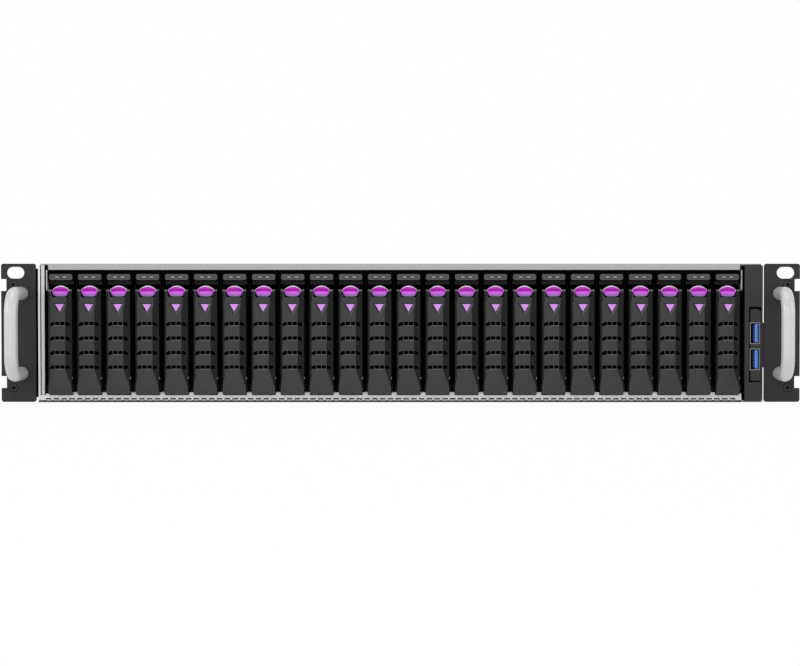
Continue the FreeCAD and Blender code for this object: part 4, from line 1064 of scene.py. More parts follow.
@dataclass
class Lever:
    """Vented, bevelled lever front with a round heel at its hinge."""

    half: float = 7.05
    front: float = -4.7
    back: float = -1.2
    pivot: Point2 = (-2.95, 9.0)
    heel: float = 4.0
    top: float = 68.1
    chamfer: float = 0.8
    bevel_width: float = 3.8
    bevel_depth: float = 1.6
    soft_edge: tuple[Point2, ...] = ((2.0, 0.0), (1.2, 0.16), (0.6, 0.45), (0.2, 0.85), (0.0, 1.3))
    bevel_foot: Point2 = (9.0, 20.0)
    bevel_head: Point2 = (55.0, 67.0)
    head_loss: float = 0.35
    levels: tuple[float, ...] = (5.02, 5.15, 6.2, 7.5, 10.5, 11.6, 15.0, 17.5, 36.0, 61.0)
    vent_heights: tuple[float, ...] = (21.5, 30.24, 38.98, 47.72)
    vent_height: float = 2.1
    vent_half: float = 5.85
    vent_rib: float = 0.5
    vent_droop: float = 0.55
    vent_tips: Point2 = (1.5, 1.6)
    vent_shoulder: float = 1.0
    notch_half: float = 5.3
    notch_foot: float = 63.6
    notch_foot_half: float = 4.5
    notch_slope: float = 2.0
    mark_top: float = 59.4
    mark_half: float = 2.6
    mark_height: float = 4.5
    mark_margins: Point2 = (1.2825, 0.57)
    mark_line: float = 0.2
    mark_sink: float = 0.5
    mark_wall_foot: float = 49.6
    ledge: float = 0.5
    ledge_half: float = 3.2
    facet: float = 1.3
    pin_height: float = 14.7
    pin_radius: float = 0.8
    pin_depth: float = -2.1

    def ring(self, z: float) -> list[Point3]:
        """Section of the lever at one height.

        Args:
            z: the height.

        Returns:
            The section's corners.
        """
        foot = blend_between(*self.bevel_foot, z)
        head = 1.0 - self.head_loss * blend_between(*self.bevel_head, z)
        share = min(foot, head)
        inner = self.half - self.bevel_width * share
        reach = math.sqrt(max(0.0, self.heel ** 2 - (z - self.pivot[1]) ** 2))
        low = z < self.pivot[1]
        front = max(self.front, self.pivot[0] - reach) if low else self.front
        front += max(0.0, z - (self.top - self.chamfer))
        edge = min(front + self.bevel_depth * share, self.back)
        back = max(self.back, self.pivot[0] + reach) if reach else self.back
        corners = [(-self.half, back), (self.half, back), (self.half, edge), (inner, front)]
        soft = max(share, 0.1)
        corners += [(wide * soft - self.half, min(front + sunk * soft, self.back)) for wide, sunk in self.soft_edge]
        return [(x, depth(d), z) for x, d in corners]

    def body_mesh(self, finishes: Sequence[Finish]) -> Mesh:
        """Mesh of the plain lever, skinned from foot to head.

        Args:
            finishes: the lever's finishes.

        Returns:
            The mesh.
        """
        heel_rise = math.sqrt(self.heel ** 2 - (self.back - self.pivot[0]) ** 2)
        turns = (*around(self.pivot[1], heel_rise), self.pivot[1], self.bevel_foot[1], self.bevel_head[0],
                 self.top - self.chamfer, self.top)
        body = Mesher()
        body.loft([self.ring(z) for z in sorted(self.levels + turns)])
        return body.mesh("lever", finishes)

    def slot_cutter(self) -> Mesher:
        """Cutter of the air slots: the outer ones narrow and slope down, to a point in the lowest row.

        Returns:
            The cutter.
        """
        cutter = Mesher()
        slot = (2 * self.vent_half - 3 * self.vent_rib) / 4
        rise = self.vent_height / 2
        inner = self.vent_rib / 2
        outer = inner + slot + self.vent_rib
        for row, z in enumerate(self.vent_heights):
            droop = self.vent_droop if row else 0.0
            tip = self.vent_tips[min(row, 1)]
            near = [(inner, z - rise), (inner + slot, z - rise), (inner + slot, z + rise), (inner, z + rise)]
            far = [(outer, z - rise), (self.vent_half, z - rise - droop), (self.vent_half, z - rise - droop + tip),
                   (outer + self.vent_shoulder, z + rise), (outer, z + rise)]
            for side in SIDES:
                for outline in (near, far):
                    # Painted shade on the walls of the slots.
                    cutter.slab([(side * x, high) for x, high in outline], self.front - 2, self.back + 2,
                                LeverSkin.SLOT)
        return cutter

    def mark(self, margin: float) -> list[Point2]:
        """Outline of the triangle mark, grown by a margin.

        Args:
            margin: growth of its sides.

        Returns:
            The three corners.
        """
        side = margin * 1.55
        head = self.mark_top + margin * 0.5
        return [(-self.mark_half - side, head), (self.mark_half + side, head),
                (0.0, self.mark_top - self.mark_height - margin * 2.0)]

    def front_cutter(self, floor: float) -> Mesher:
        """Cutter of the ledges under the slots, whose faces carry a painted highlight, the button's notch and the
        recess of the mark.

        Args:
            floor: depth of the recess floor.

        Returns:
            The cutter.
        """
        cutter = Mesher()
        for z in self.vent_heights:
            foot = z - self.vent_height / 2
            wedge = [(depth(self.front - 0.4), foot - self.ledge * 1.4), (depth(self.front + 1.0), foot + self.ledge),
                     (depth(self.front - 0.4), foot + self.ledge)]
            cutter.prism(wedge, Axis.X, -self.ledge_half, self.ledge_half, LeverSkin.EDGE)
        slope, high = self.notch_foot + self.notch_slope, self.top + 1
        wide = self.notch_half
        notch = [(-self.notch_foot_half, self.notch_foot), (self.notch_foot_half, self.notch_foot), (wide, slope),
                 (wide, high), (-wide, high), (-wide, slope)]
        cutter.slab(notch, self.front - 2, self.back + 2)
        wide, narrow = map(self.mark, self.mark_margins)
        cutter.loft([Mesher.lift(wide, Axis.Y, depth(self.front - 0.3)), Mesher.lift(narrow, Axis.Y, depth(floor))])
        return cutter

    def facet_cutter(self) -> Mesher:
        """Cutter of the slanted facets beside the notch, whose faces carry a painted highlight.

        Returns:
            The cutter.
        """
        cutter = Mesher()
        high = self.top + 0.5
        for side in SIDES:
            corner = side * (self.notch_half - 0.3)
            sections = []
            for size, d in ((self.facet + 1.2, self.front - 0.3), (self.facet, self.front + 1.2)):
                outline = [(corner, high - size), (corner + side * size, high), (corner, high)]
                sections.append(Mesher.lift(outline, Axis.Y, depth(d)))
            cutter.loft(sections, LeverSkin.EDGE)
        return cutter

    def finish_faces(self, mesh: Mesh, floor: float) -> None:
        """Paint shade on the long bevel and the soft left edge, and a painted highlight on the shoulders and the
        right wall of the mark's recess.

        Args:
            mesh: the cut lever.
            floor: depth of the recess floor.
        """
        for face in mesh.polygons:
            if face.material_index in (LeverSkin.SLOT, LeverSkin.EDGE):
                continue
            middle, normal = face.center / MM, face.normal
            shoulder = normal.z > 0.3 and middle.z > self.top - self.chamfer - 0.1
            recess = (self.mark_wall_foot < middle.z < self.mark_top + 2 and 0 < middle.x < self.mark_half + 2
                      and middle.y < depth(floor))
            # Painted highlight on the top chamfer beside the notch and on the right wall of the mark's recess.
            if shoulder or (recess and normal.x < -0.2 and -0.95 < normal.y < -0.1):
                face.material_index = LeverSkin.EDGE
                continue
            # Painted shade: sideways faces of the long bevel and of the soft left edge take the darker bevel finish.
            sideways = 0.15 < abs(normal.x) < 0.9 and normal.y < -0.3
            edge = middle.x > self.half - self.bevel_width or middle.x < self.soft_edge[1][0] - self.half
            if sideways and edge and middle.z > self.bevel_foot[0]:
                face.material_index = LeverSkin.BEVEL

    def mesh(self) -> Mesh:
        """Mesh of the lever with its slots, mark and stop pin.

        Returns:
            The mesh.
        """
        finishes = [MOULDED, SHADOW_PLASTIC, VIOLET_MARK, BARE_STEEL, BEVEL_PLASTIC, EDGE_PLASTIC]
        floor = self.front + self.mark_sink
        base = self.body_mesh(finishes)
        for cutter in (self.slot_cutter(), self.front_cutter(floor), self.facet_cutter()):
            base = carve(base, cutter)
        self.finish_faces(base, floor)
        extra = Mesher()
        # Painted shade: a thin near-black outline under the mark stands for the groove round it.
        extra.slab(self.mark(self.mark_line), floor - 0.12, floor + 0.1, LeverSkin.SLOT)
        extra.slab(self.mark(0.0), self.front + 0.05, floor - 0.05, LeverSkin.MARK)
        ends = [(self.pin_radius, self.half - 0.3), (self.pin_radius, self.half + 0.25),
                (self.pin_radius * 0.6, self.half + 0.4)]
        extra.turned((0.0, depth(self.pin_depth), self.pin_height), Axis.X, ends, 12, LeverSkin.PIN)
        return merge([base, extra.mesh("lever_extra", finishes)])


class ButtonSkin(IntEnum):
    """Finishes of a release button, by index: the violet body, painted shade in the scoop, a painted highlight on the
    rim, a painted sheen on the foot and painted light on the dome.
    """

    BODY, SCOOP, RIM, FOOT, DOME = range(5)


@dataclass
class ReleaseButton:
    """Arched thumb button with a scooped upper face and a raised rim."""

    foot: float = 63.9
    shoulder: float = 68.1
    arch: float = 2.4
    scoop_foot: float = 66.95
    foot_half: float = 4.45
    half: float = 5.0
    taper_top: float = 67.5
    back: float = 2.7
    columns: int = 28
    corner: float = 2.0
    sunk: float = 3.1
    face: float = -4.8
    scoop_shares: Point2 = (0.5, 0.9)
    scoop_side: float = 0.78
    side_round: float = 0.55
    side_start: float = 0.84
    foot_share: float = 0.15
    dome_share: float = 0.72
    rim_share: float = 0.87
    rim_side: float = 0.93
    rows: tuple[Point2, ...] = (
        (0.0, -4.7), (0.03, -4.85), (0.07, -5.0), (0.16, -5.2), (0.3, -5.2), (0.44, -5.2), (0.5, -5.1), (0.53, -4.9),
        (0.6, -4.3), (0.68, -3.75), (0.76, -3.5), (0.83, -3.6), (0.88, -4.1), (0.91, -4.6), (0.95, -4.8), (1.0, -4.4),
    )

    def point(self, u: float, v: float, d: float) -> Point3:
        """Point of the front face.

        Args:
            u: place across, from -1 to 1.
            v: share of the height.
            d: depth of the row before the sides are rounded.

        Returns:
            The point.
        """
        crown = self.shoulder + self.arch * (1 - u * u)
        start, end = self.scoop_shares
        if v <= start:
            z = self.foot + (self.scoop_foot - self.foot) * v / start
        else:
            z = self.scoop_foot + (crown - self.scoop_foot) * (v - start) / (1 - start)
        half = self.foot_half + (self.half - self.foot_half) * blend_between(self.foot, self.taper_top, z)
        low = max(0.0, self.corner - (z - self.foot))
        half -= self.corner - math.sqrt(self.corner ** 2 - low ** 2)
        if d > self.face and start < v < end:
            d = self.face + (d - self.face) * blend_between(1.0, self.scoop_side, abs(u))
        rounding = self.side_round * max(0.0, (abs(u) - self.side_start) / (1 - self.side_start)) ** 2
        return (u * half, depth(d + rounding + self.sunk), z)

    def finish_at(self, u: float, v: float) -> ButtonSkin:
        """Finish of the face that starts at a place across and a share of the height; this places the painted shade,
        highlight, sheen and light.

        Args:
            u: place across, from -1 to 1.
            v: share of the height.

        Returns:
            The finish.
        """
        if v < self.foot_share:
            return ButtonSkin.FOOT
        if v < self.scoop_shares[0]:
            return ButtonSkin.BODY
        if v >= self.rim_share or abs(u) > self.rim_side:
            return ButtonSkin.RIM
        return ButtonSkin.SCOOP if v < self.dome_share else ButtonSkin.DOME

    def mesh(self) -> Mesh:
        """Mesh of the button.

        Returns:
            The mesh.
        """
        work = Mesher()
        across = [2 * column / self.columns - 1 for column in range(self.columns + 1)]
        rows = [[self.point(u, v, d) for u in across] for v, d in self.rows]
        work.grid(rows, lambda row, column: self.finish_at(across[column] + 1 / self.columns, self.rows[row][0]))
        work.close_back(self.back)
        return work.mesh("release_button", [BUTTON_BODY, BUTTON_SCOOP, BUTTON_RIM, BUTTON_FOOT, BUTTON_DOME], 50.0)


@dataclass
class DriveBays:
    """The row of drive bays, each with a carrier, a light bar, a lever and a button."""

    count: int = 24
    pitch: float = 17.5
    first_edge: float = -213.9
    jointed: int = 4

    def build(self) -> None:
        """Make the shared meshes and place them in every bay."""
        carrier, bar = CarrierFrame().mesh(), LightBar().mesh()
        lever, button = Lever().mesh(), ReleaseButton().mesh()
        for index in range(self.count):
            tag = f"{index + 1:02d}"
            body = "drive_carrier_" + tag
            x = self.first_edge + (index + 0.5) * self.pitch
            soften(place("carrier_" + tag, carrier, body, x, [body]), 0.25)
            soften(place("light_bar_" + tag, bar, body, x), 0.18)
            own = index < self.jointed
            lever_body = "carrier_lever_" + tag if own else body
            button_body = "release_button_" + tag if own else body
            soften(place("lever_" + tag, lever, lever_body, x, [lever_body] if own else []), 0.1)
            place("button_" + tag, button, button_body, x, [button_body] if own else [])


# Ears, pillar and front sheet metal


@dataclass
class Screws:
    """Cross-head screws on the ears and knurled thumb screws behind the cover."""

    ear_x: float = 233.9
    ear_heights: Point2 = (8.8, 71.2)
    head: float = 2.45
    proud: float = 0.4
    rim_gap: float = 0.02
    rim_width: float = 0.28
    rim_rise: float = 0.06
    cross_half: Point2 = (1.5, 0.375)
    ear_cross_floor: float = -0.085
    thumb_cross_sink: float = 0.9
    thumb_cross_size: float = 1.5
    thumb_places: tuple[float, ...] = (-129.7, 207.8)
    thumb_height: float = 77.5
    thumb_radius: float = 5.0
    thumb_length: float = 9.0
    thumb_teeth: int = 40
    tooth_share: float = 0.94
    knurled_from: float = 0.93

    def cross(self, cutter: Mesher, middle: Point2, depths: Point2, size: float = 1.0) -> None:
        """Add a cross-shaped driver recess to a cutter; its walls and floor take painted shade."""
        long, short = self.cross_half
        cutter.slab(cross_outline(middle, long * size, short * size), *depths, 1)

    def build(self) -> None:
        """Make all screws as one piece in place of the plain heads."""
        finishes = [SCREW_STEEL, SHADOW_PLASTIC, BARE_STEEL]
        heads, cutter = Mesher(), Mesher()
        profile = [(self.head, 0.0), (self.head, -0.12), (self.head * 0.93, -self.proud * 0.75),
                   (self.head * 0.7, -self.proud)]
        inner = self.head + self.rim_gap
        outer = inner + self.rim_width
        rim = [(inner, 0.0), (outer, 0.0), (outer, -self.rim_rise), (inner, -self.rim_rise)]
        for side in SIDES:
            for z in self.ear_heights:
                x = side * self.ear_x
                heads.turned((x, depth(0.0), z), Axis.Y, profile, 28)
                # Painted shade: a thin near-black ring round each head stands for the groove round it.
                heads.turned((x, depth(0.0), z), Axis.Y, rim, 28, 1, closed=True)
                self.cross(cutter, (x, z), (-1.0, self.ear_cross_floor))
        end = REAR_DEPTH + self.thumb_length
        for x in self.thumb_places:
            self.thumb(heads, x)
            self.cross(cutter, (x, self.thumb_height), (end - self.thumb_cross_sink, end + 1), self.thumb_cross_size)
        mesh = carve(heads.mesh("screw_heads", finishes), cutter)
        place("screws", mesh, "chassis", 0.0, ["case_screws"])

    def thumb(self, heads: Mesher, x: float) -> None:
        """Add one knurled thumb screw.

        Args:
            heads: the screws in the making.
            x: its place across.
        """
        steps = ((0.72, 0.0), (0.72, 1.2), (0.94, 1.6), (1.0, 2.4), (1.0, self.thumb_length - 1.0),
                 (0.9, self.thumb_length))
        rings = []
        for share, shift in steps:
            ring = []
            for tooth in range(self.thumb_teeth * 2):
                angle = math.pi * tooth / self.thumb_teeth
                plain = tooth % 2 or share < self.knurled_from
                radius = self.thumb_radius * share * (1.0 if plain else self.tooth_share)
                ring.append((x + radius * math.cos(angle), depth(REAR_DEPTH + shift),
                             self.thumb_height + radius * math.sin(angle)))
            rings.append(ring)
        heads.loft(rings, 2)


@dataclass
class Ears:
    """Powder-coated rack ears, with a strip beside the chassis painted as shadow, and their satin handles."""

    edge: float = 0.35
    # Painted shadow on the sunk faces of the ears beside the chassis that look forward.
    gap: Zone = Zone(1, x=around(0.0, 220.45), depths=(0.5, FAR), facing=0.5)

    def dress(self) -> None:
        """Dress both ears and both handles."""
        for side in ("left", "right"):
            soften(dress("rack_ear_" + side, [POWDER_COAT, SHADOW_PLASTIC], [self.gap]), self.edge, weld=True)
            dress("ear_handle_" + side, [SATIN])
        Screws().build()


class PortSkin(IntEnum):
    """Finishes of a front port, by index."""

    SHELL, TONGUE, INSIDE, TONGUE_FRONT = range(4)


@dataclass
class PortPillar:
    """Black pillar at the right with two upright blue ports."""

    # Painted shade on the sunk faces of the module's recess, seen round its face plate.
    module: Zone = Zone(1, x=(210.3, 217.8), depths=(-0.95, FAR), z=(12.1, 57.9))
    port_x: float = 214.05
    port_heights: Point2 = (26.0, 41.8)
    shell: Point2 = (6.1, 13.1)
    shell_inside: Zone = Zone(PortSkin.INSIDE, x=around(214.05, 2.6), depths=(-0.4, FAR))
    tongue: Point2 = (214.2, 216.1)
    tongue_half: float = 5.8
    tongue_front: float = -0.1
    contacts: int = 5
    contact_pitch: float = 2.0
    contact_half: float = 0.45
    plate: tuple[Point2, Point2] = ((211.3, 217.7), (13.0, 56.4))
    plate_depths: Point2 = (-0.75, 0.0)
    plate_corner: float = 1.6
    plate_gap: float = 0.05

    def port_zones(self) -> list[Zone]:
        """Zones of both ports: the blue tongues with a painted highlight on their fronts, and painted shade inside.

        Returns:
            The zones.
        """
        zones = []
        x = (self.tongue[0] - 0.05, self.tongue[1] + 0.05)
        for middle in self.port_heights:
            for finish, facing in ((PortSkin.TONGUE_FRONT, 0.9), (PortSkin.TONGUE, -FAR)):
                zones.append(Zone(finish, x, (self.tongue_front, FAR), around(middle, self.tongue_half), facing))
        return zones + [self.shell_inside]

    def build(self) -> None:
        """Dress the pillar and add the module's face plate and the ports' contacts."""
        soften(dress("front_io_panel", [PANEL_PLASTIC, SHADOW_PLASTIC], [self.module]), 0.25, weld=True)
        dress("usb_ports", [TIN, PORT_BLUE, PORT_NAVY, PORT_SHINE], self.port_zones())
        pins = Mesher()
        left, right = self.tongue
        # Contact strips in the painted highlight colour, a strip of painted shade along the tongue's left side and a
        # blue strip at its right front.
        for z in self.port_heights:
            for number in range(self.contacts):
                at = z + (number - (self.contacts - 1) / 2) * self.contact_pitch
                pins.box((left - 0.35, left), (1.0, 9.0), around(at, self.contact_half))
            pins.box((left - 1.2, left), (1.6, 9.0), around(z, 5.2), 1)
            pins.box((right - 0.7, right), (-0.05, 0.5), around(z, 5.4), 2)
        finishes = [PORT_SHINE, PORT_DEEP, PORT_BLUE]
        place("port_contacts", pins.mesh("port_contacts", finishes), "chassis")
        soften(place("module_plate", self.plate_mesh(), "chassis"), 0.2)

    def plate_mesh(self) -> Mesh:
        """Mesh of the plate over the sunk module, open round both ports.

        Returns:
            The mesh.
        """
        (left, right), (low, high) = self.plate
        cut = self.plate_corner
        sheet, cutter = Mesher(), Mesher()
        sheet.slab([(left, low), (right, low), (right, high - cut), (right - cut, high), (left, high)],
                   *self.plate_depths)
        wide, tall = self.shell[0] / 2 + self.plate_gap, self.shell[1] / 2 + self.plate_gap
        for z in self.port_heights:
            cutter.box(around(self.port_x, wide), (-2.0, 1.0), around(z, tall))
        return carve(sheet.mesh("module_plate", [PANEL_PLASTIC]), cutter)


class TraySkin(IntEnum):
    """Finishes of the tray, by index: the lip finish is painted light, the slot finish painted shade on the walls of
    the lip's slots and the edge finish painted shade along the lip's foot.
    """

    SHEET, LIP, SLOT, EDGE = range(4)


@dataclass
class FrontSheets:
    """Bright sheets at the front: tray with its slotted lip, guide springs and drive cage."""

    # Painted light on the bright flange zinc at the cage's left front, and painted shade on the cage's faces that
    # look forward, so the gaps between the carriers read black.
    cage_zones: tuple[Zone, ...] = (Zone(1, x=(-FAR, -213.1), depths=(-FAR, 1.4)), Zone(2, facing=0.9))
    sockets: Zone = Zone(1, depths=(-FAR, 141.0))
    # Zones of the tray: painted light on the lip, painted shade on the walls of the lip's slots.
    tray_zones: tuple[Zone, ...] = (
        Zone(TraySkin.SHEET, depths=(1.6, FAR)), Zone(TraySkin.LIP, facing=0.5),
        Zone(TraySkin.SLOT, x=around(0.0, 216.0), z=(0.5, 3.6)), Zone(TraySkin.LIP),
    )
    lip_front: float = 0.3
    lip_edge: Point2 = (0.5, 1.3)
    lip_ends: Point2 = (-220.0, 210.0)
    sill_ends: Point2 = (-215.5, 205.0)
    sill_depths: Point2 = (0.55, 0.95)
    sill_heights: Point2 = (1.2, 1.65)
    tab_half: float = 1.55
    tab_heights: Point2 = (3.5, 5.85)
    tab_depths: Point2 = (0.34, 1.46)
    end_tabs: tuple[Point2, Point2] = ((-214.6, -212.35), (204.55, 206.05))
    end_tab_heights: Point2 = (3.5, 5.2)
    springs: tuple[Point2, Point2] = ((-214.25, -213.45), (205.65, 206.45))
    spring_depths: Point2 = (0.5, 9.0)
    spring_heights: Point2 = (67.2, 79.9)
    spring_corner: float = 1.0

    def tray(self) -> None:
        """Tray with a dark chamfer of painted shade along the foot of its lip, a sill behind the slots and wide tabs.
        """
        finishes = [ZINC, FOOT_ZINC, SHADOW_PLASTIC, CUT_EDGE]
        sheet = recast("chassis_tray", finishes)
        paint(sheet, self.tray_zones)
        back, high = self.lip_edge
        front = depth(self.lip_front)
        slope = back / high
        edge, sill = Mesher(), Mesher()
        # Painted shade: the chamfer cut along the foot of the lip takes the dark zinc.
        edge.prism([(front - 1.0, -1.0), (front + back + slope, -1.0), (front - slope / 2, high + 0.5),
                    (front - 1.0, high + 0.5)], Axis.X, *self.lip_ends, TraySkin.EDGE)
        sill.box(self.sill_ends, self.sill_depths, self.sill_heights, TraySkin.LIP)
        for number in range(1, DriveBays.count):
            x = DriveBays.first_edge + number * DriveBays.pitch
            sill.box(around(x, self.tab_half), self.tab_depths, self.tab_heights, TraySkin.LIP)
        for ends in self.end_tabs:
            sill.box(ends, self.tab_depths, self.end_tab_heights, TraySkin.LIP)
        mesh = merge([carve(sheet, edge, PLATE_SMOOTH), sill.mesh("lip_sill", finishes)])
        place("tray_sheet", mesh, "chassis", 0.0, ["chassis_tray"])

    def dress(self) -> None:
        """Make the tray and the guide springs, and dress the cage and the backplane."""
        self.tray()
        dress("drive_cage", [POWDER_COAT, FLANGE_ZINC, SHADOW_PLASTIC], self.cage_zones)
        dress("drive_backplane", [BOARD_GREEN, SOCKET_BLACK], [self.sockets])
        springs = Mesher()
        low, high = self.spring_heights
        start, end = map(depth, self.spring_depths)
        outline = [(start, low + self.spring_corner), (start + self.spring_corner, low), (end, low), (end, high),
                   (start, high)]
        for left, right in self.springs:
            springs.prism(outline, Axis.X, left, right)
        soften(place("guide_springs", springs.mesh("guide_springs", [LIP_ZINC]), "chassis"), 0.15)


# Rear and inside


class BoardSkin(IntEnum):
    """Finishes of the board, by index."""

    LAMINATE, STANDOFF, PORT, SOCKET, SLOT = range(5)


class PartSkin(IntEnum):
    """Finishes of the small parts on the board, by index."""

    CHIP, CAN, FIN, PIN, COIL = range(5)


@dataclass
class Inside:
    """Board, coolers, shroud and fans under the cover."""

    board_top: float = 8.85
    board_zones: tuple[Zone, ...] = (
        Zone(BoardSkin.STANDOFF, z=(-FAR, 7.1)), Zone(BoardSkin.LAMINATE, z=(-FAR, 8.85)),
        Zone(BoardSkin.PORT, x=(-FAR, 35.0), depths=(REAR_DEPTH - 25.0, FAR)),
    )
    slot_pitch: float = 9.5
    slot_back: float = 473.4
    slot_pairs: int = 12
    fans: int = 4
    chips: tuple[tuple[float, float, float, float], ...] = (
        (-62.0, 545.0, 24.0, 2.2), (-22.0, 590.0, 20.0, 1.8), (-96.0, 520.0, 12.0, 1.4), (-78.0, 520.0, 12.0, 1.4),
        (14.0, 592.0, 16.0, 1.6), (52.0, 560.0, 14.0, 1.5), (170.0, 470.0, 18.0, 1.8), (128.0, 488.0, 12.0, 1.4),
    )
    coils: tuple[float, ...] = (-72.0, -59.0, -46.0, -33.0, -20.0, -7.0, 86.0, 99.0, 112.0, 125.0, 138.0, 151.0)
    coil_depth: float = 452.0
    coil: Point2 = (10.0, 7.0)
    can_depth: float = 440.0
    can: Point2 = (4.0, 11.0)
    hub: Point3 = (20.0, 500.0, 44.0)
    hub_foot: float = 4.0
    hub_fins: int = 9
    hub_fin: Point2 = (1.4, 15.0)
    cell: Point3 = (-104.0, 575.0, 10.0)
    plugs: tuple[float, ...] = (62.0, 70.0, 78.0, 86.0)
    plug_depth: float = 515.0
    plug: Point3 = (6.0, 17.0, 9.0)
    plug_pin: Point3 = (1.2, 11.0, 9.4)
    feeds: tuple[float, ...] = (306.0, 336.0, 462.0)
    feed_x: float = -126.0
    feed: Point3 = (10.0, 22.0, 13.0)

    def dress(self) -> None:
        """Dress the inner nodes and add the small parts."""
        zones = list(self.board_zones)
        for number in range(-self.slot_pairs, self.slot_pairs):
            left = (2 * number + 1) * self.slot_pitch
            zones.append(Zone(BoardSkin.SLOT, x=(left, left + self.slot_pitch), depths=(-FAR, self.slot_back)))
        zones.append(Zone(BoardSkin.SOCKET))
        dress("mainboard", [BOARD_GREEN, BARE_STEEL, TIN, SOCKET_BLACK, SOCKET_BLUE], zones)
        plain = {"cpu_heatsinks": FIN_METAL, "air_shroud": SHROUD, "fan_wall": ZINC, "fan_housings": FAN_BLACK}
        plain |= {f"fan_rotor_{number}": FAN_BLACK for number in range(1, self.fans + 1)}
        for node, finish in plain.items():
            dress(node, [finish])
        soften(place("board_parts", self.parts_mesh(), "chassis"), 0.3)

    def parts_mesh(self) -> Mesh:
        """Mesh of the chips, coils, capacitors, plugs, cell and hub cooler on the board.

        Returns:
            The mesh.
        """
        work = Mesher()
        for x, d, size, high in self.chips:
            self.block(work, (x, d), (size, size, high))
        for x in self.coils:
            size, high = self.coil
            self.block(work, (x, self.coil_depth), (size, size, high), PartSkin.COIL)
            radius, high = self.can
            rim = [(radius, -0.2), (radius, high - 0.6), (radius - 0.6, high), (radius - 1.0, high - 0.3)]
            work.turned((x, depth(self.can_depth), self.board_top), Axis.Z, rim, 20, PartSkin.CAN)
        for x in self.plugs:
            self.block(work, (x, self.plug_depth), self.plug)
            self.block(work, (x, self.plug_depth), self.plug_pin, PartSkin.PIN)
        for d in self.feeds:
            self.block(work, (self.feed_x, d), self.feed)
        x, d, radius = self.cell
        at = (x, depth(d), self.board_top)
        work.turned(at, Axis.Z, [(radius + 1.6, -0.2), (radius + 1.6, 3.0), (radius, 3.0)], 36)
        work.turned(at, Axis.Z, [(radius, 3.0), (radius, 4.4), (radius - 0.6, 4.8)], 36, PartSkin.CAN)
        x, d, size = self.hub
        self.block(work, (x, d), (size, size, self.hub_foot), PartSkin.FIN)
        thick, high = self.hub_fin
        pitch = (size - 2.0) / (self.hub_fins - 1)
        for number in range(self.hub_fins):
            self.block(work, (x - size / 2 + 1.0 + number * pitch, d), (thick, size, high), PartSkin.FIN)
        return work.mesh("board_parts", [SOCKET_BLACK, BARE_STEEL, FIN_METAL, CONTACT, FAN_BLACK])

    def block(self, work: Mesher, middle: Point2, size: Point3, finish: int = PartSkin.CHIP) -> None:
        """Add a block that stands on the board.

        Args:
            work: the mesh in the making.
            middle: middle across and in depth.
            size: width, length and height.
            finish: finish index.
        """
        wide, long, high = size
        work.box(around(middle[0], wide / 2), around(middle[1], long / 2),
                 (self.board_top - 0.2, self.board_top + high), finish)


@dataclass
class PowerSupplies:
    """Two slim supplies with a fan grille, a mains inlet and a violet latch."""

    middles: Point2 = (21.3, 61.7)
    inlet: Point2 = (-209.7, -184.7)
    inlet_floor: float = REAR_DEPTH - 14.0
    black: tuple[Zone, ...] = (
        Zone(1, depths=(REAR_DEPTH + 0.1, FAR)),
        Zone(1, x=(-209.8, -184.6), depths=(REAR_DEPTH - 14.2, REAR_DEPTH - 0.1)),
    )
    grille_x: float = -167.2
    rings: tuple[float, ...] = (4.5, 8.5, 12.5, 16.5)
    ring_depth: float = REAR_DEPTH + 0.9
    spoke_depth: float = REAR_DEPTH + 0.8
    spoke_angles: Point2 = (45.0, 135.0)
    wire: float = 0.65
    wire_sides: int = 8
    margin: float = 1.0
    pin: Point3 = (2.0, 4.2, 9.0)
    pin_places: tuple[Point2, ...] = ((-7.0, -1.5), (0.0, 2.5), (7.0, -1.5))

    def build(self) -> None:
        """Dress both supplies and add their grilles and inlet pins."""
        for number, z in enumerate(self.middles, start=1):
            body = f"power_supply_{number}"
            dress(body, [SUPPLY_METAL, MOULDED], self.black)
            dress(f"psu_latch_{number}", [LATCH_PURPLE])
            place(f"supply_grille_{number}", self.grille_mesh(z), body)
            soften(place(f"inlet_pins_{number}", self.pins_mesh(z), body), 0.4)
        dress("psu_cage", [ZINC])

    def pins_mesh(self, z: float) -> Mesh:
        """Mesh of the pins in a supply's inlet.

        Args:
            z: the supply's middle height.

        Returns:
            The mesh.
        """
        pins = Mesher()
        wide, tall, long = self.pin
        middle = sum(self.inlet) / 2
        for shift, lift in self.pin_places:
            pins.box(around(middle + shift, wide / 2), (self.inlet_floor - 0.5, self.inlet_floor + long),
                     around(z + lift, tall / 2))
        return pins.mesh("inlet_pins", [BARE_STEEL])

    def grille_mesh(self, z: float) -> Mesh:
        """Mesh of a supply's wire grille over a disc of painted shade.

        Args:
            z: the supply's middle height.

        Returns:
            The mesh.
        """
        work = Mesher()
        reach = self.rings[-1] + self.margin
        turns = [2 * math.pi * step / self.wire_sides for step in range(self.wire_sides)]
        section = [(self.wire * math.cos(turn), self.wire * math.sin(turn)) for turn in turns]
        # Painted shade: a near-black disc behind the wire rings stands for the dark fan opening.
        work.turned((self.grille_x, depth(REAR_DEPTH), z), Axis.Y, [(reach + 0.2, 0.05), (reach, 0.1)], 48, 1)
        for radius in self.rings:
            work.turned((self.grille_x, depth(self.ring_depth), z), Axis.Y, [(radius + a, b) for a, b in section], 40,
                        0, closed=True)
        for angle in map(math.radians, self.spoke_angles):
            along, up = math.cos(angle), math.sin(angle)
            work.loft([[(self.grille_x + end * along - a * up, depth(self.spoke_depth) + b, z + end * up + a * along)
                        for a, b in section] for end in (-reach, reach)])
        return work.mesh("supply_grille", [BARE_STEEL, SHADOW_PLASTIC])


class PortKind(Enum):
    """Kinds of rear port."""

    USB = "two flat data ports, one over the other"
    NET = "square network port over two flat data ports"
    SCREEN = "wide screen port with two nuts"
    SERVICE = "single network port"


class RearSkin(IntEnum):
    """Finishes of the rear ports, by index: the hollow finish is painted shade."""

    SHELL, HOLLOW, TONGUE, CONTACT, SHIELD = range(5)


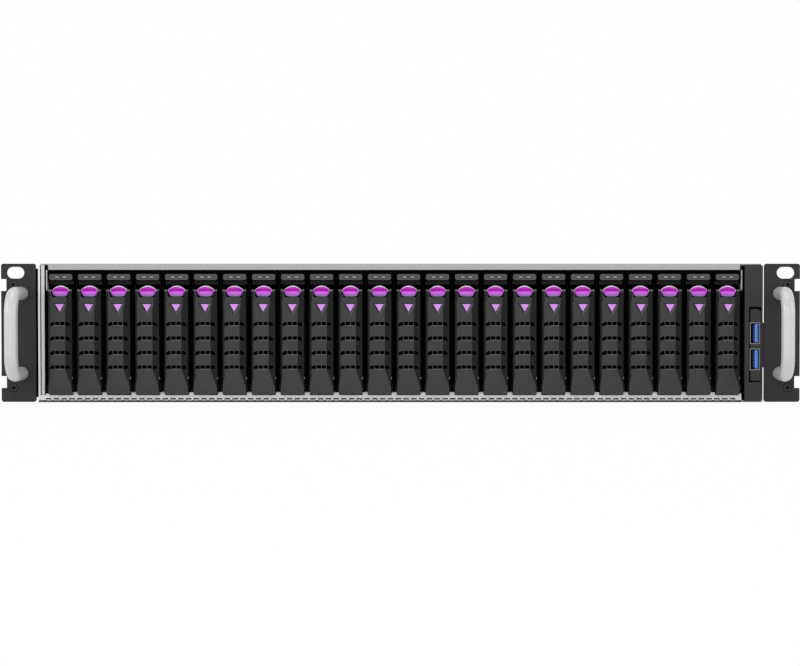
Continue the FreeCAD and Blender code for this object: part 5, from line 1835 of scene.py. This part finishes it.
@dataclass
class RearPorts:
    """Shield plate behind the port opening, and the faces of the port blocks."""

    opening: tuple[Point2, Point2] = ((-127.5, 30.9), (9.0, 48.6))
    block_depth: float = 655.2
    first_left: float = -121.7
    gap: float = 6.0
    board_top: float = 8.8
    face_gap: float = 0.01
    reach: float = 0.95
    wall: float = 0.6
    contacts: int = 8
    contact_pitch: float = 1.0
    contact_half: float = 0.22
    blocks: tuple[tuple[PortKind, float, float], ...] = (
        (PortKind.USB, 15.0, 27.0), (PortKind.NET, 16.0, 29.0), (PortKind.NET, 16.0, 29.0),
        (PortKind.SCREEN, 31.0, 12.5), (PortKind.SERVICE, 18.0, 13.5),
    )
    usb_shares: Point2 = (0.27, 0.75)
    net_shares: Point2 = (0.13, 0.35)
    net_share: float = 0.74
    vent_pitch: float = 5.0
    vent: float = 1.7
    screen_shell: tuple[Point2, ...] = ((-7.2, -4.0), (7.2, -4.0), (8.4, 3.2), (7.6, 4.0), (-7.6, 4.0), (-8.4, 3.2))
    screen_reach: float = 0.9
    screen_holes: tuple[int, int] = (3, 5)
    screen_pitch: Point2 = (2.3, 2.1)
    screen_slant: float = 0.6
    nut_place: float = 12.3

    def build(self) -> None:
        """Make the shield and the port faces."""
        finishes = [TIN, SHADOW_PLASTIC, PORT_BLUE, CONTACT, BARE_STEEL]
        faces, holes, sheet = Mesher(), Mesher(), Mesher()
        left = self.first_left
        for kind, width, height in self.blocks:
            holes.box((left + 0.1, left + width - 0.1), (self.block_depth - 1, self.block_depth + 2),
                      (self.board_top - 1, self.board_top + height - 0.1))
            self.face(faces, kind, left + width / 2, (width, height))
            left += width + self.gap
        self.vents(holes, left)
        across, heights = self.opening
        sheet.box(across, (self.block_depth + 0.05, self.block_depth + 0.5), heights, RearSkin.SHIELD)
        plate = carve(sheet.mesh("port_shield", finishes), holes)
        place("port_shield", merge([plate, faces.mesh("port_faces", finishes)]), "chassis")

    def vents(self, holes: Mesher, start: float) -> None:
        """Add round vents to the free right end of the shield.

        Args:
            holes: the shield's cutter.
            start: where the free end starts.
        """
        (_, right), (low, high) = self.opening
        columns = int((right - start - self.vent_pitch) / self.vent_pitch)
        rows = int((high - low - 2 * self.vent_pitch) / self.vent_pitch)
        for column in range(columns):
            for row in range(rows):
                x = start + self.vent_pitch * (column + 0.8)
                z = low + self.vent_pitch * (row + 1.3 + 0.5 * (column % 2))
                # The vents' walls take painted shade.
                holes.turned((x, depth(self.block_depth), z), Axis.Y, [(self.vent, -1.0), (self.vent, 2.0)], 6,
                             RearSkin.HOLLOW)

    def socket(self, work: Mesher, middle: Point2, size: Point2, tongue: bool) -> None:
        """Add one open socket: a shell round a hollow painted as shade, with a tongue or contacts.

        Args:
            work: the port faces.
            middle: centre across and up.
            size: outer width and height.
            tongue: whether it holds a tongue rather than a row of contacts.
        """
        x, z = middle
        wide, tall = size[0] / 2, size[1] / 2
        start, end = self.block_depth + self.face_gap, self.block_depth + self.reach
        inner_wide, inner_tall = wide - self.wall, tall - self.wall
        outer = rectangle(around(x, wide), around(z, tall))
        inner = rectangle(around(x, inner_wide), around(z, inner_tall))
        rings = [Mesher.lift(ring, Axis.Y, depth(d))
                 for ring, d in ((outer, start), (outer, end), (inner, end), (inner, start + 0.2))]
        work.loft(rings[:3], RearSkin.SHELL, caps=False)
        work.loft(rings[2:], RearSkin.HOLLOW, caps=False)
        work.face(rings[3], RearSkin.HOLLOW)
        if tongue:
            work.box(around(x, inner_wide * 0.85), (start + 0.1, end - 0.1),
                     (z + inner_tall * 0.1, z + inner_tall * 0.7), RearSkin.TONGUE)
            return
        for number in range(self.contacts):
            at = x + (number - (self.contacts - 1) / 2) * self.contact_pitch
            work.box(around(at, self.contact_half), (start + 0.1, start + 0.5),
                     (z + inner_tall * 0.2, z + inner_tall * 0.85), RearSkin.CONTACT)

    def face(self, work: Mesher, kind: PortKind, x: float, size: Point2) -> None:
        """Add the face of one port block.

        Args:
            work: the port faces.
            kind: kind of port.
            x: middle of the block.
            size: its width and height.
        """
        width, height = size
        foot = self.board_top
        if kind is PortKind.USB:
            for share in self.usb_shares:
                self.socket(work, (x, foot + height * share), (width - 1.0, 6.4), True)
        elif kind is PortKind.NET:
            for share in self.net_shares:
                self.socket(work, (x, foot + height * share), (width - 2.0, 6.0), True)
            self.socket(work, (x, foot + height * self.net_share), (width - 0.6, 14.0), False)
        elif kind is PortKind.SERVICE:
            self.socket(work, (x, foot + height / 2), (width - 2.0, height - 1.0), False)
        else:
            self.screen(work, x, foot + height / 2)

    def screen(self, work: Mesher, x: float, z: float) -> None:
        """Add the face of the screen port: a slanted shell, its rows of holes as discs of painted shade, and two
        nuts.

        Args:
            work: the port faces.
            x: middle of the port across.
            z: its middle height.
        """
        start = self.block_depth + self.face_gap
        end = start + self.screen_reach
        work.slab([(x + a, z + b) for a, b in self.screen_shell], start, end, RearSkin.TONGUE)
        rows, columns = self.screen_holes
        for row in range(rows):
            for column in range(columns):
                hole = (x + (column - 2) * self.screen_pitch[0] + (row - 1) * self.screen_slant, depth(end - 0.05),
                        z + (row - 1) * self.screen_pitch[1])
                work.turned(hole, Axis.Y, [(0.5, 0.0), (0.5, 0.1)], 8, RearSkin.HOLLOW)
        for side in SIDES:
            work.turned((x + side * self.nut_place, depth(start), z), Axis.Y, [(2.6, 0.0), (2.6, 0.8), (2.2, 1.0)], 6,
                        RearSkin.SHIELD)


@dataclass
class OuterSheets:
    """Rear panel, slot covers, and the lift-off cover and front plate with their stamped details."""

    top: float = 83.8
    bead: Point3 = (7.0, 330.0, 0.7)
    bead_places: tuple[float, ...] = (-150.0, -75.0, 0.0, 75.0, 150.0)
    bead_middle: float = 430.0
    grip: Point3 = (46.0, 12.0, 0.6)
    grip_places: Point2 = (-110.0, 110.0)
    grip_depth: float = 184.0
    plate_screws: tuple[float, ...] = (-190.0, -114.0, -38.0, 38.0, 114.0, 190.0)
    plate_screw_depths: Point2 = (22.0, 140.0)
    screw_radius: float = 3.2
    screw_sink: float = 0.5
    cross_half: Point2 = (1.9, 0.45)
    cross_sink: float = 0.35
    stud_depths: tuple[float, ...] = (62.0, 250.0, 430.0, 600.0)
    stud_height: float = 42.0
    stud: tuple[Point2, ...] = ((2.6, 0.0), (2.6, 2.2), (4.2, 2.2), (4.4, 2.5), (4.4, 3.4), (4.0, 3.8), (1.6, 3.8),
                                (1.4, 3.2))
    wall: float = 219.0

    def dress(self) -> None:
        """Dress the rear sheets and make the cover, the front plate and the rail studs."""
        dress("rear_panel", [ZINC])
        dress("slot_covers", [BARE_STEEL])
        self.cover()
        self.front_plate()
        self.studs()
        RearPorts().build()

    def cover(self) -> None:
        """Cover with pressed stiffening beads and two grips for the fingers."""
        cutter = Mesher()
        for x in self.bead_places:
            self.pressed(cutter, (x, self.bead_middle), self.bead)
        for x in self.grip_places:
            self.pressed(cutter, (x, self.grip_depth), self.grip)
        mesh = carve(recast("top_cover", [ZINC]), cutter, PLATE_SMOOTH)
        place("cover_sheet", mesh, "top_cover", 0.0, ["top_cover"])

    def pressed(self, cutter: Mesher, middle: Point2, size: Point3) -> None:
        """Add a pressed hollow with sloping walls to a cutter.

        Args:
            cutter: the cover's cutter.
            middle: middle across and in depth.
            size: width, length and sink.
        """
        sections = []
        for grow, z in ((0.6, self.top + 0.5), (0.0, self.top), (-1.2, self.top - size[2])):
            wide, long = size[0] + 2 * grow, size[1] + 2 * grow
            outline = rounded(wide, long, min(wide, long) / 2 - 0.01, (middle[0], depth(middle[1])), 6)
            sections.append(Mesher.lift(outline, Axis.Z, z))
        cutter.loft(sections)

    def front_plate(self) -> None:
        """Front plate with two rows of sunk screws, their cross recesses in painted shade."""
        finishes = [LIP_ZINC, BARE_STEEL, SHADOW_PLASTIC]
        sinks, heads, cross = Mesher(), Mesher(), Mesher()
        radius, sink = self.screw_radius, self.screw_sink
        for d in self.plate_screw_depths:
            for x in self.plate_screws:
                at = (x, depth(d), self.top)
                sinks.turned(at, Axis.Z, [(radius + 0.5, 0.3), (radius, -sink)], 24)
                profile = [(radius - 0.2, -sink - 0.2), (radius - 0.3, -0.2), (radius * 0.7, -0.06)]
                heads.turned(at, Axis.Z, profile, 24, 1)
                # Painted shade on the walls and floor of each cross recess.
                cross.prism(cross_outline((x, depth(d)), *self.cross_half), Axis.Z, self.top - self.cross_sink,
                            self.top + 1, 2)
        plate = carve(recast("front_top_plate", finishes), sinks)
        cut_heads = carve(heads.mesh("plate_screws", finishes), cross)
        soften(place("front_plate", plate, "chassis", 0.0, ["front_top_plate"]), 0.4, 3)
        place("plate_screws", cut_heads, "chassis")

    def studs(self) -> None:
        """Shouldered studs on both walls for the slide rails."""
        work = Mesher()
        for side in SIDES:
            for d in self.stud_depths:
                work.turned((side * self.wall, depth(d), self.stud_height), Axis.X,
                            [(radius, side * shift) for radius, shift in self.stud], 28)
        place("rail_studs", work.mesh("rail_studs", [BARE_STEEL]), "chassis")


# Studio


@dataclass(frozen=True)
class Lamp:
    """One soft lamp, in millimetres and watts, aimed at the object."""

    name: str
    at: Point3
    size: Point2
    power: float

    def build(self, aim: Point3) -> None:
        """Put the lamp in the scene.

        Args:
            aim: the point that it faces.
        """
        data = bpy.data.lights.new(self.name, "AREA")
        data.shape = "RECTANGLE"
        data.size, data.size_y = self.size[0] * MM, self.size[1] * MM
        data.energy = self.power
        lamp = bpy.data.objects.new(self.name, data)
        bpy.context.scene.collection.objects.link(lamp)
        lamp.location = Vector(self.at) * MM
        lamp.rotation_euler = (Vector(aim) * MM - lamp.location).to_track_quat("-Z", "Y").to_euler()


@dataclass
class Studio:
    """Camera, lights, floor and background."""

    aim: Point3 = (-0.36, EAR_PLANE, 41.9)
    distance: float = 1270.0
    elevation: float = 1.6
    sidestep: float = 25.0
    lens: float = 94.57
    sensor: float = 36.0
    clip: Point2 = (0.01, 100.0)
    sky: float = 0.9
    floor_share: float = 0.93
    floor_size: float = 12000.0
    floor_height: float = -0.02
    floor_colour: Colour = (0.9, 0.9, 0.9)
    white: Colour = (1.0, 1.0, 1.0)
    lamp_aim: Point3 = (0.0, EAR_PLANE * 0.5, 40.0)
    lamps: tuple[Lamp, ...] = (
        Lamp("front", (-120.0, -2000.0, 450.0), (1600.0, 1000.0), 4.5),
        Lamp("left", (-1500.0, -900.0, 500.0), (700.0, 900.0), 4.5),
        Lamp("right", (1500.0, -900.0, 500.0), (700.0, 900.0), 2.5),
        Lamp("top", (-100.0, -300.0, 1500.0), (1400.0, 900.0), 3.0),
        Lamp("rear", (700.0, 1700.0, 800.0), (1200.0, 900.0), 4.0),
    )

    def build(self) -> None:
        """Set up the whole studio."""
        scene = bpy.context.scene
        scene.view_settings.view_transform = "Standard"
        self.add_camera(scene)
        self.add_world(scene)
        self.add_floor(scene)
        for lamp in self.lamps:
            lamp.build(self.lamp_aim)

    def add_camera(self, scene: Scene) -> None:
        """Aim the camera at the middle of the front, from a little to the right.

        Args:
            scene: the scene.
        """
        data = bpy.data.cameras.new("camera")
        data.lens = self.lens
        data.sensor_width = self.sensor
        data.sensor_fit = "HORIZONTAL"
        data.clip_start, data.clip_end = self.clip
        camera = bpy.data.objects.new("camera", data)
        scene.collection.objects.link(camera)
        target = Vector(self.aim) * MM
        rise = math.radians(self.elevation)
        offset = Vector((0.0, -math.cos(rise), math.sin(rise))) * self.distance * MM
        camera.location = target + offset + Vector((self.sidestep * MM, 0.0, 0.0))
        camera.rotation_euler = (-offset).to_track_quat("-Z", "Y").to_euler()
        data.shift_x = -self.sidestep * self.lens / (self.sensor * self.distance)
        scene.camera = camera

    def add_world(self, scene: Scene) -> None:
        """White for what the camera and reflections see, a little less for the light.

        Args:
            scene: the scene.
        """
        world = bpy.data.worlds.new("studio")
        world.use_nodes = True
        tree = world.node_tree
        strength = math_node(tree, "MULTIPLY", background_rays(tree), 1.0 - self.sky)
        strength = math_node(tree, "ADD", strength, self.sky)
        surface = tree.nodes["Background"]
        surface.inputs["Color"].default_value = (*self.white, 1.0)
        tree.links.new(strength, surface.inputs["Strength"])
        scene.world = world

    def add_floor(self, scene: Scene) -> None:
        """Pale floor that keeps a soft shadow.

        Args:
            scene: the scene.
        """
        reach = around(0.0, self.floor_size / 2 * MM)
        mesh = bpy.data.meshes.new("floor")
        mesh.from_pydata([(x, y, 0.0) for x, y in rectangle(reach, reach)], [], [(0, 1, 2, 3)])
        floor = bpy.data.objects.new("floor", mesh)
        floor.location.z = self.floor_height * MM
        scene.collection.objects.link(floor)
        made = bpy.data.materials.new("pale_floor")
        made.use_nodes = True
        tree = made.node_tree
        tree.nodes.remove(tree.nodes["Principled BSDF"])
        matt, bright, mix = (add_node(tree, kind) for kind in ("BsdfDiffuse", "Emission", "MixShader"))
        matt.inputs["Color"].default_value = (*self.floor_colour, 1.0)
        bright.inputs["Color"].default_value = (*self.white, 1.0)
        share = math_node(tree, "MULTIPLY", background_rays(tree), self.floor_share)
        for socket, source in zip(mix.inputs, (share, matt.outputs[0], bright.outputs[0])):
            tree.links.new(source, socket)
        tree.links.new(mix.outputs[0], tree.nodes["Material Output"].inputs["Surface"])
        mesh.materials.append(made)


def background_rays(tree: NodeTree) -> NodeSocket:
    """Value of 1 for camera, glossy and transmission rays.

    Args:
        tree: the tree that takes the nodes.

    Returns:
        The value socket.
    """
    path = add_node(tree, "LightPath")
    first = math_node(tree, "MAXIMUM", path.outputs["Is Camera Ray"], path.outputs["Is Glossy Ray"])
    return math_node(tree, "MAXIMUM", first, path.outputs["Is Transmission Ray"])


def main() -> None:
    """Build and dress the server, sub-assembly by sub-assembly."""
    logging.basicConfig(level=logging.INFO, format="%(name)s: %(message)s")
    DriveBays().build()
    Ears().dress()
    PortPillar().build()
    FrontSheets().dress()
    Inside().dress()
    PowerSupplies().build()
    OuterSheets().dress()
    Studio().build()


if __name__ == "__main__":
    main()
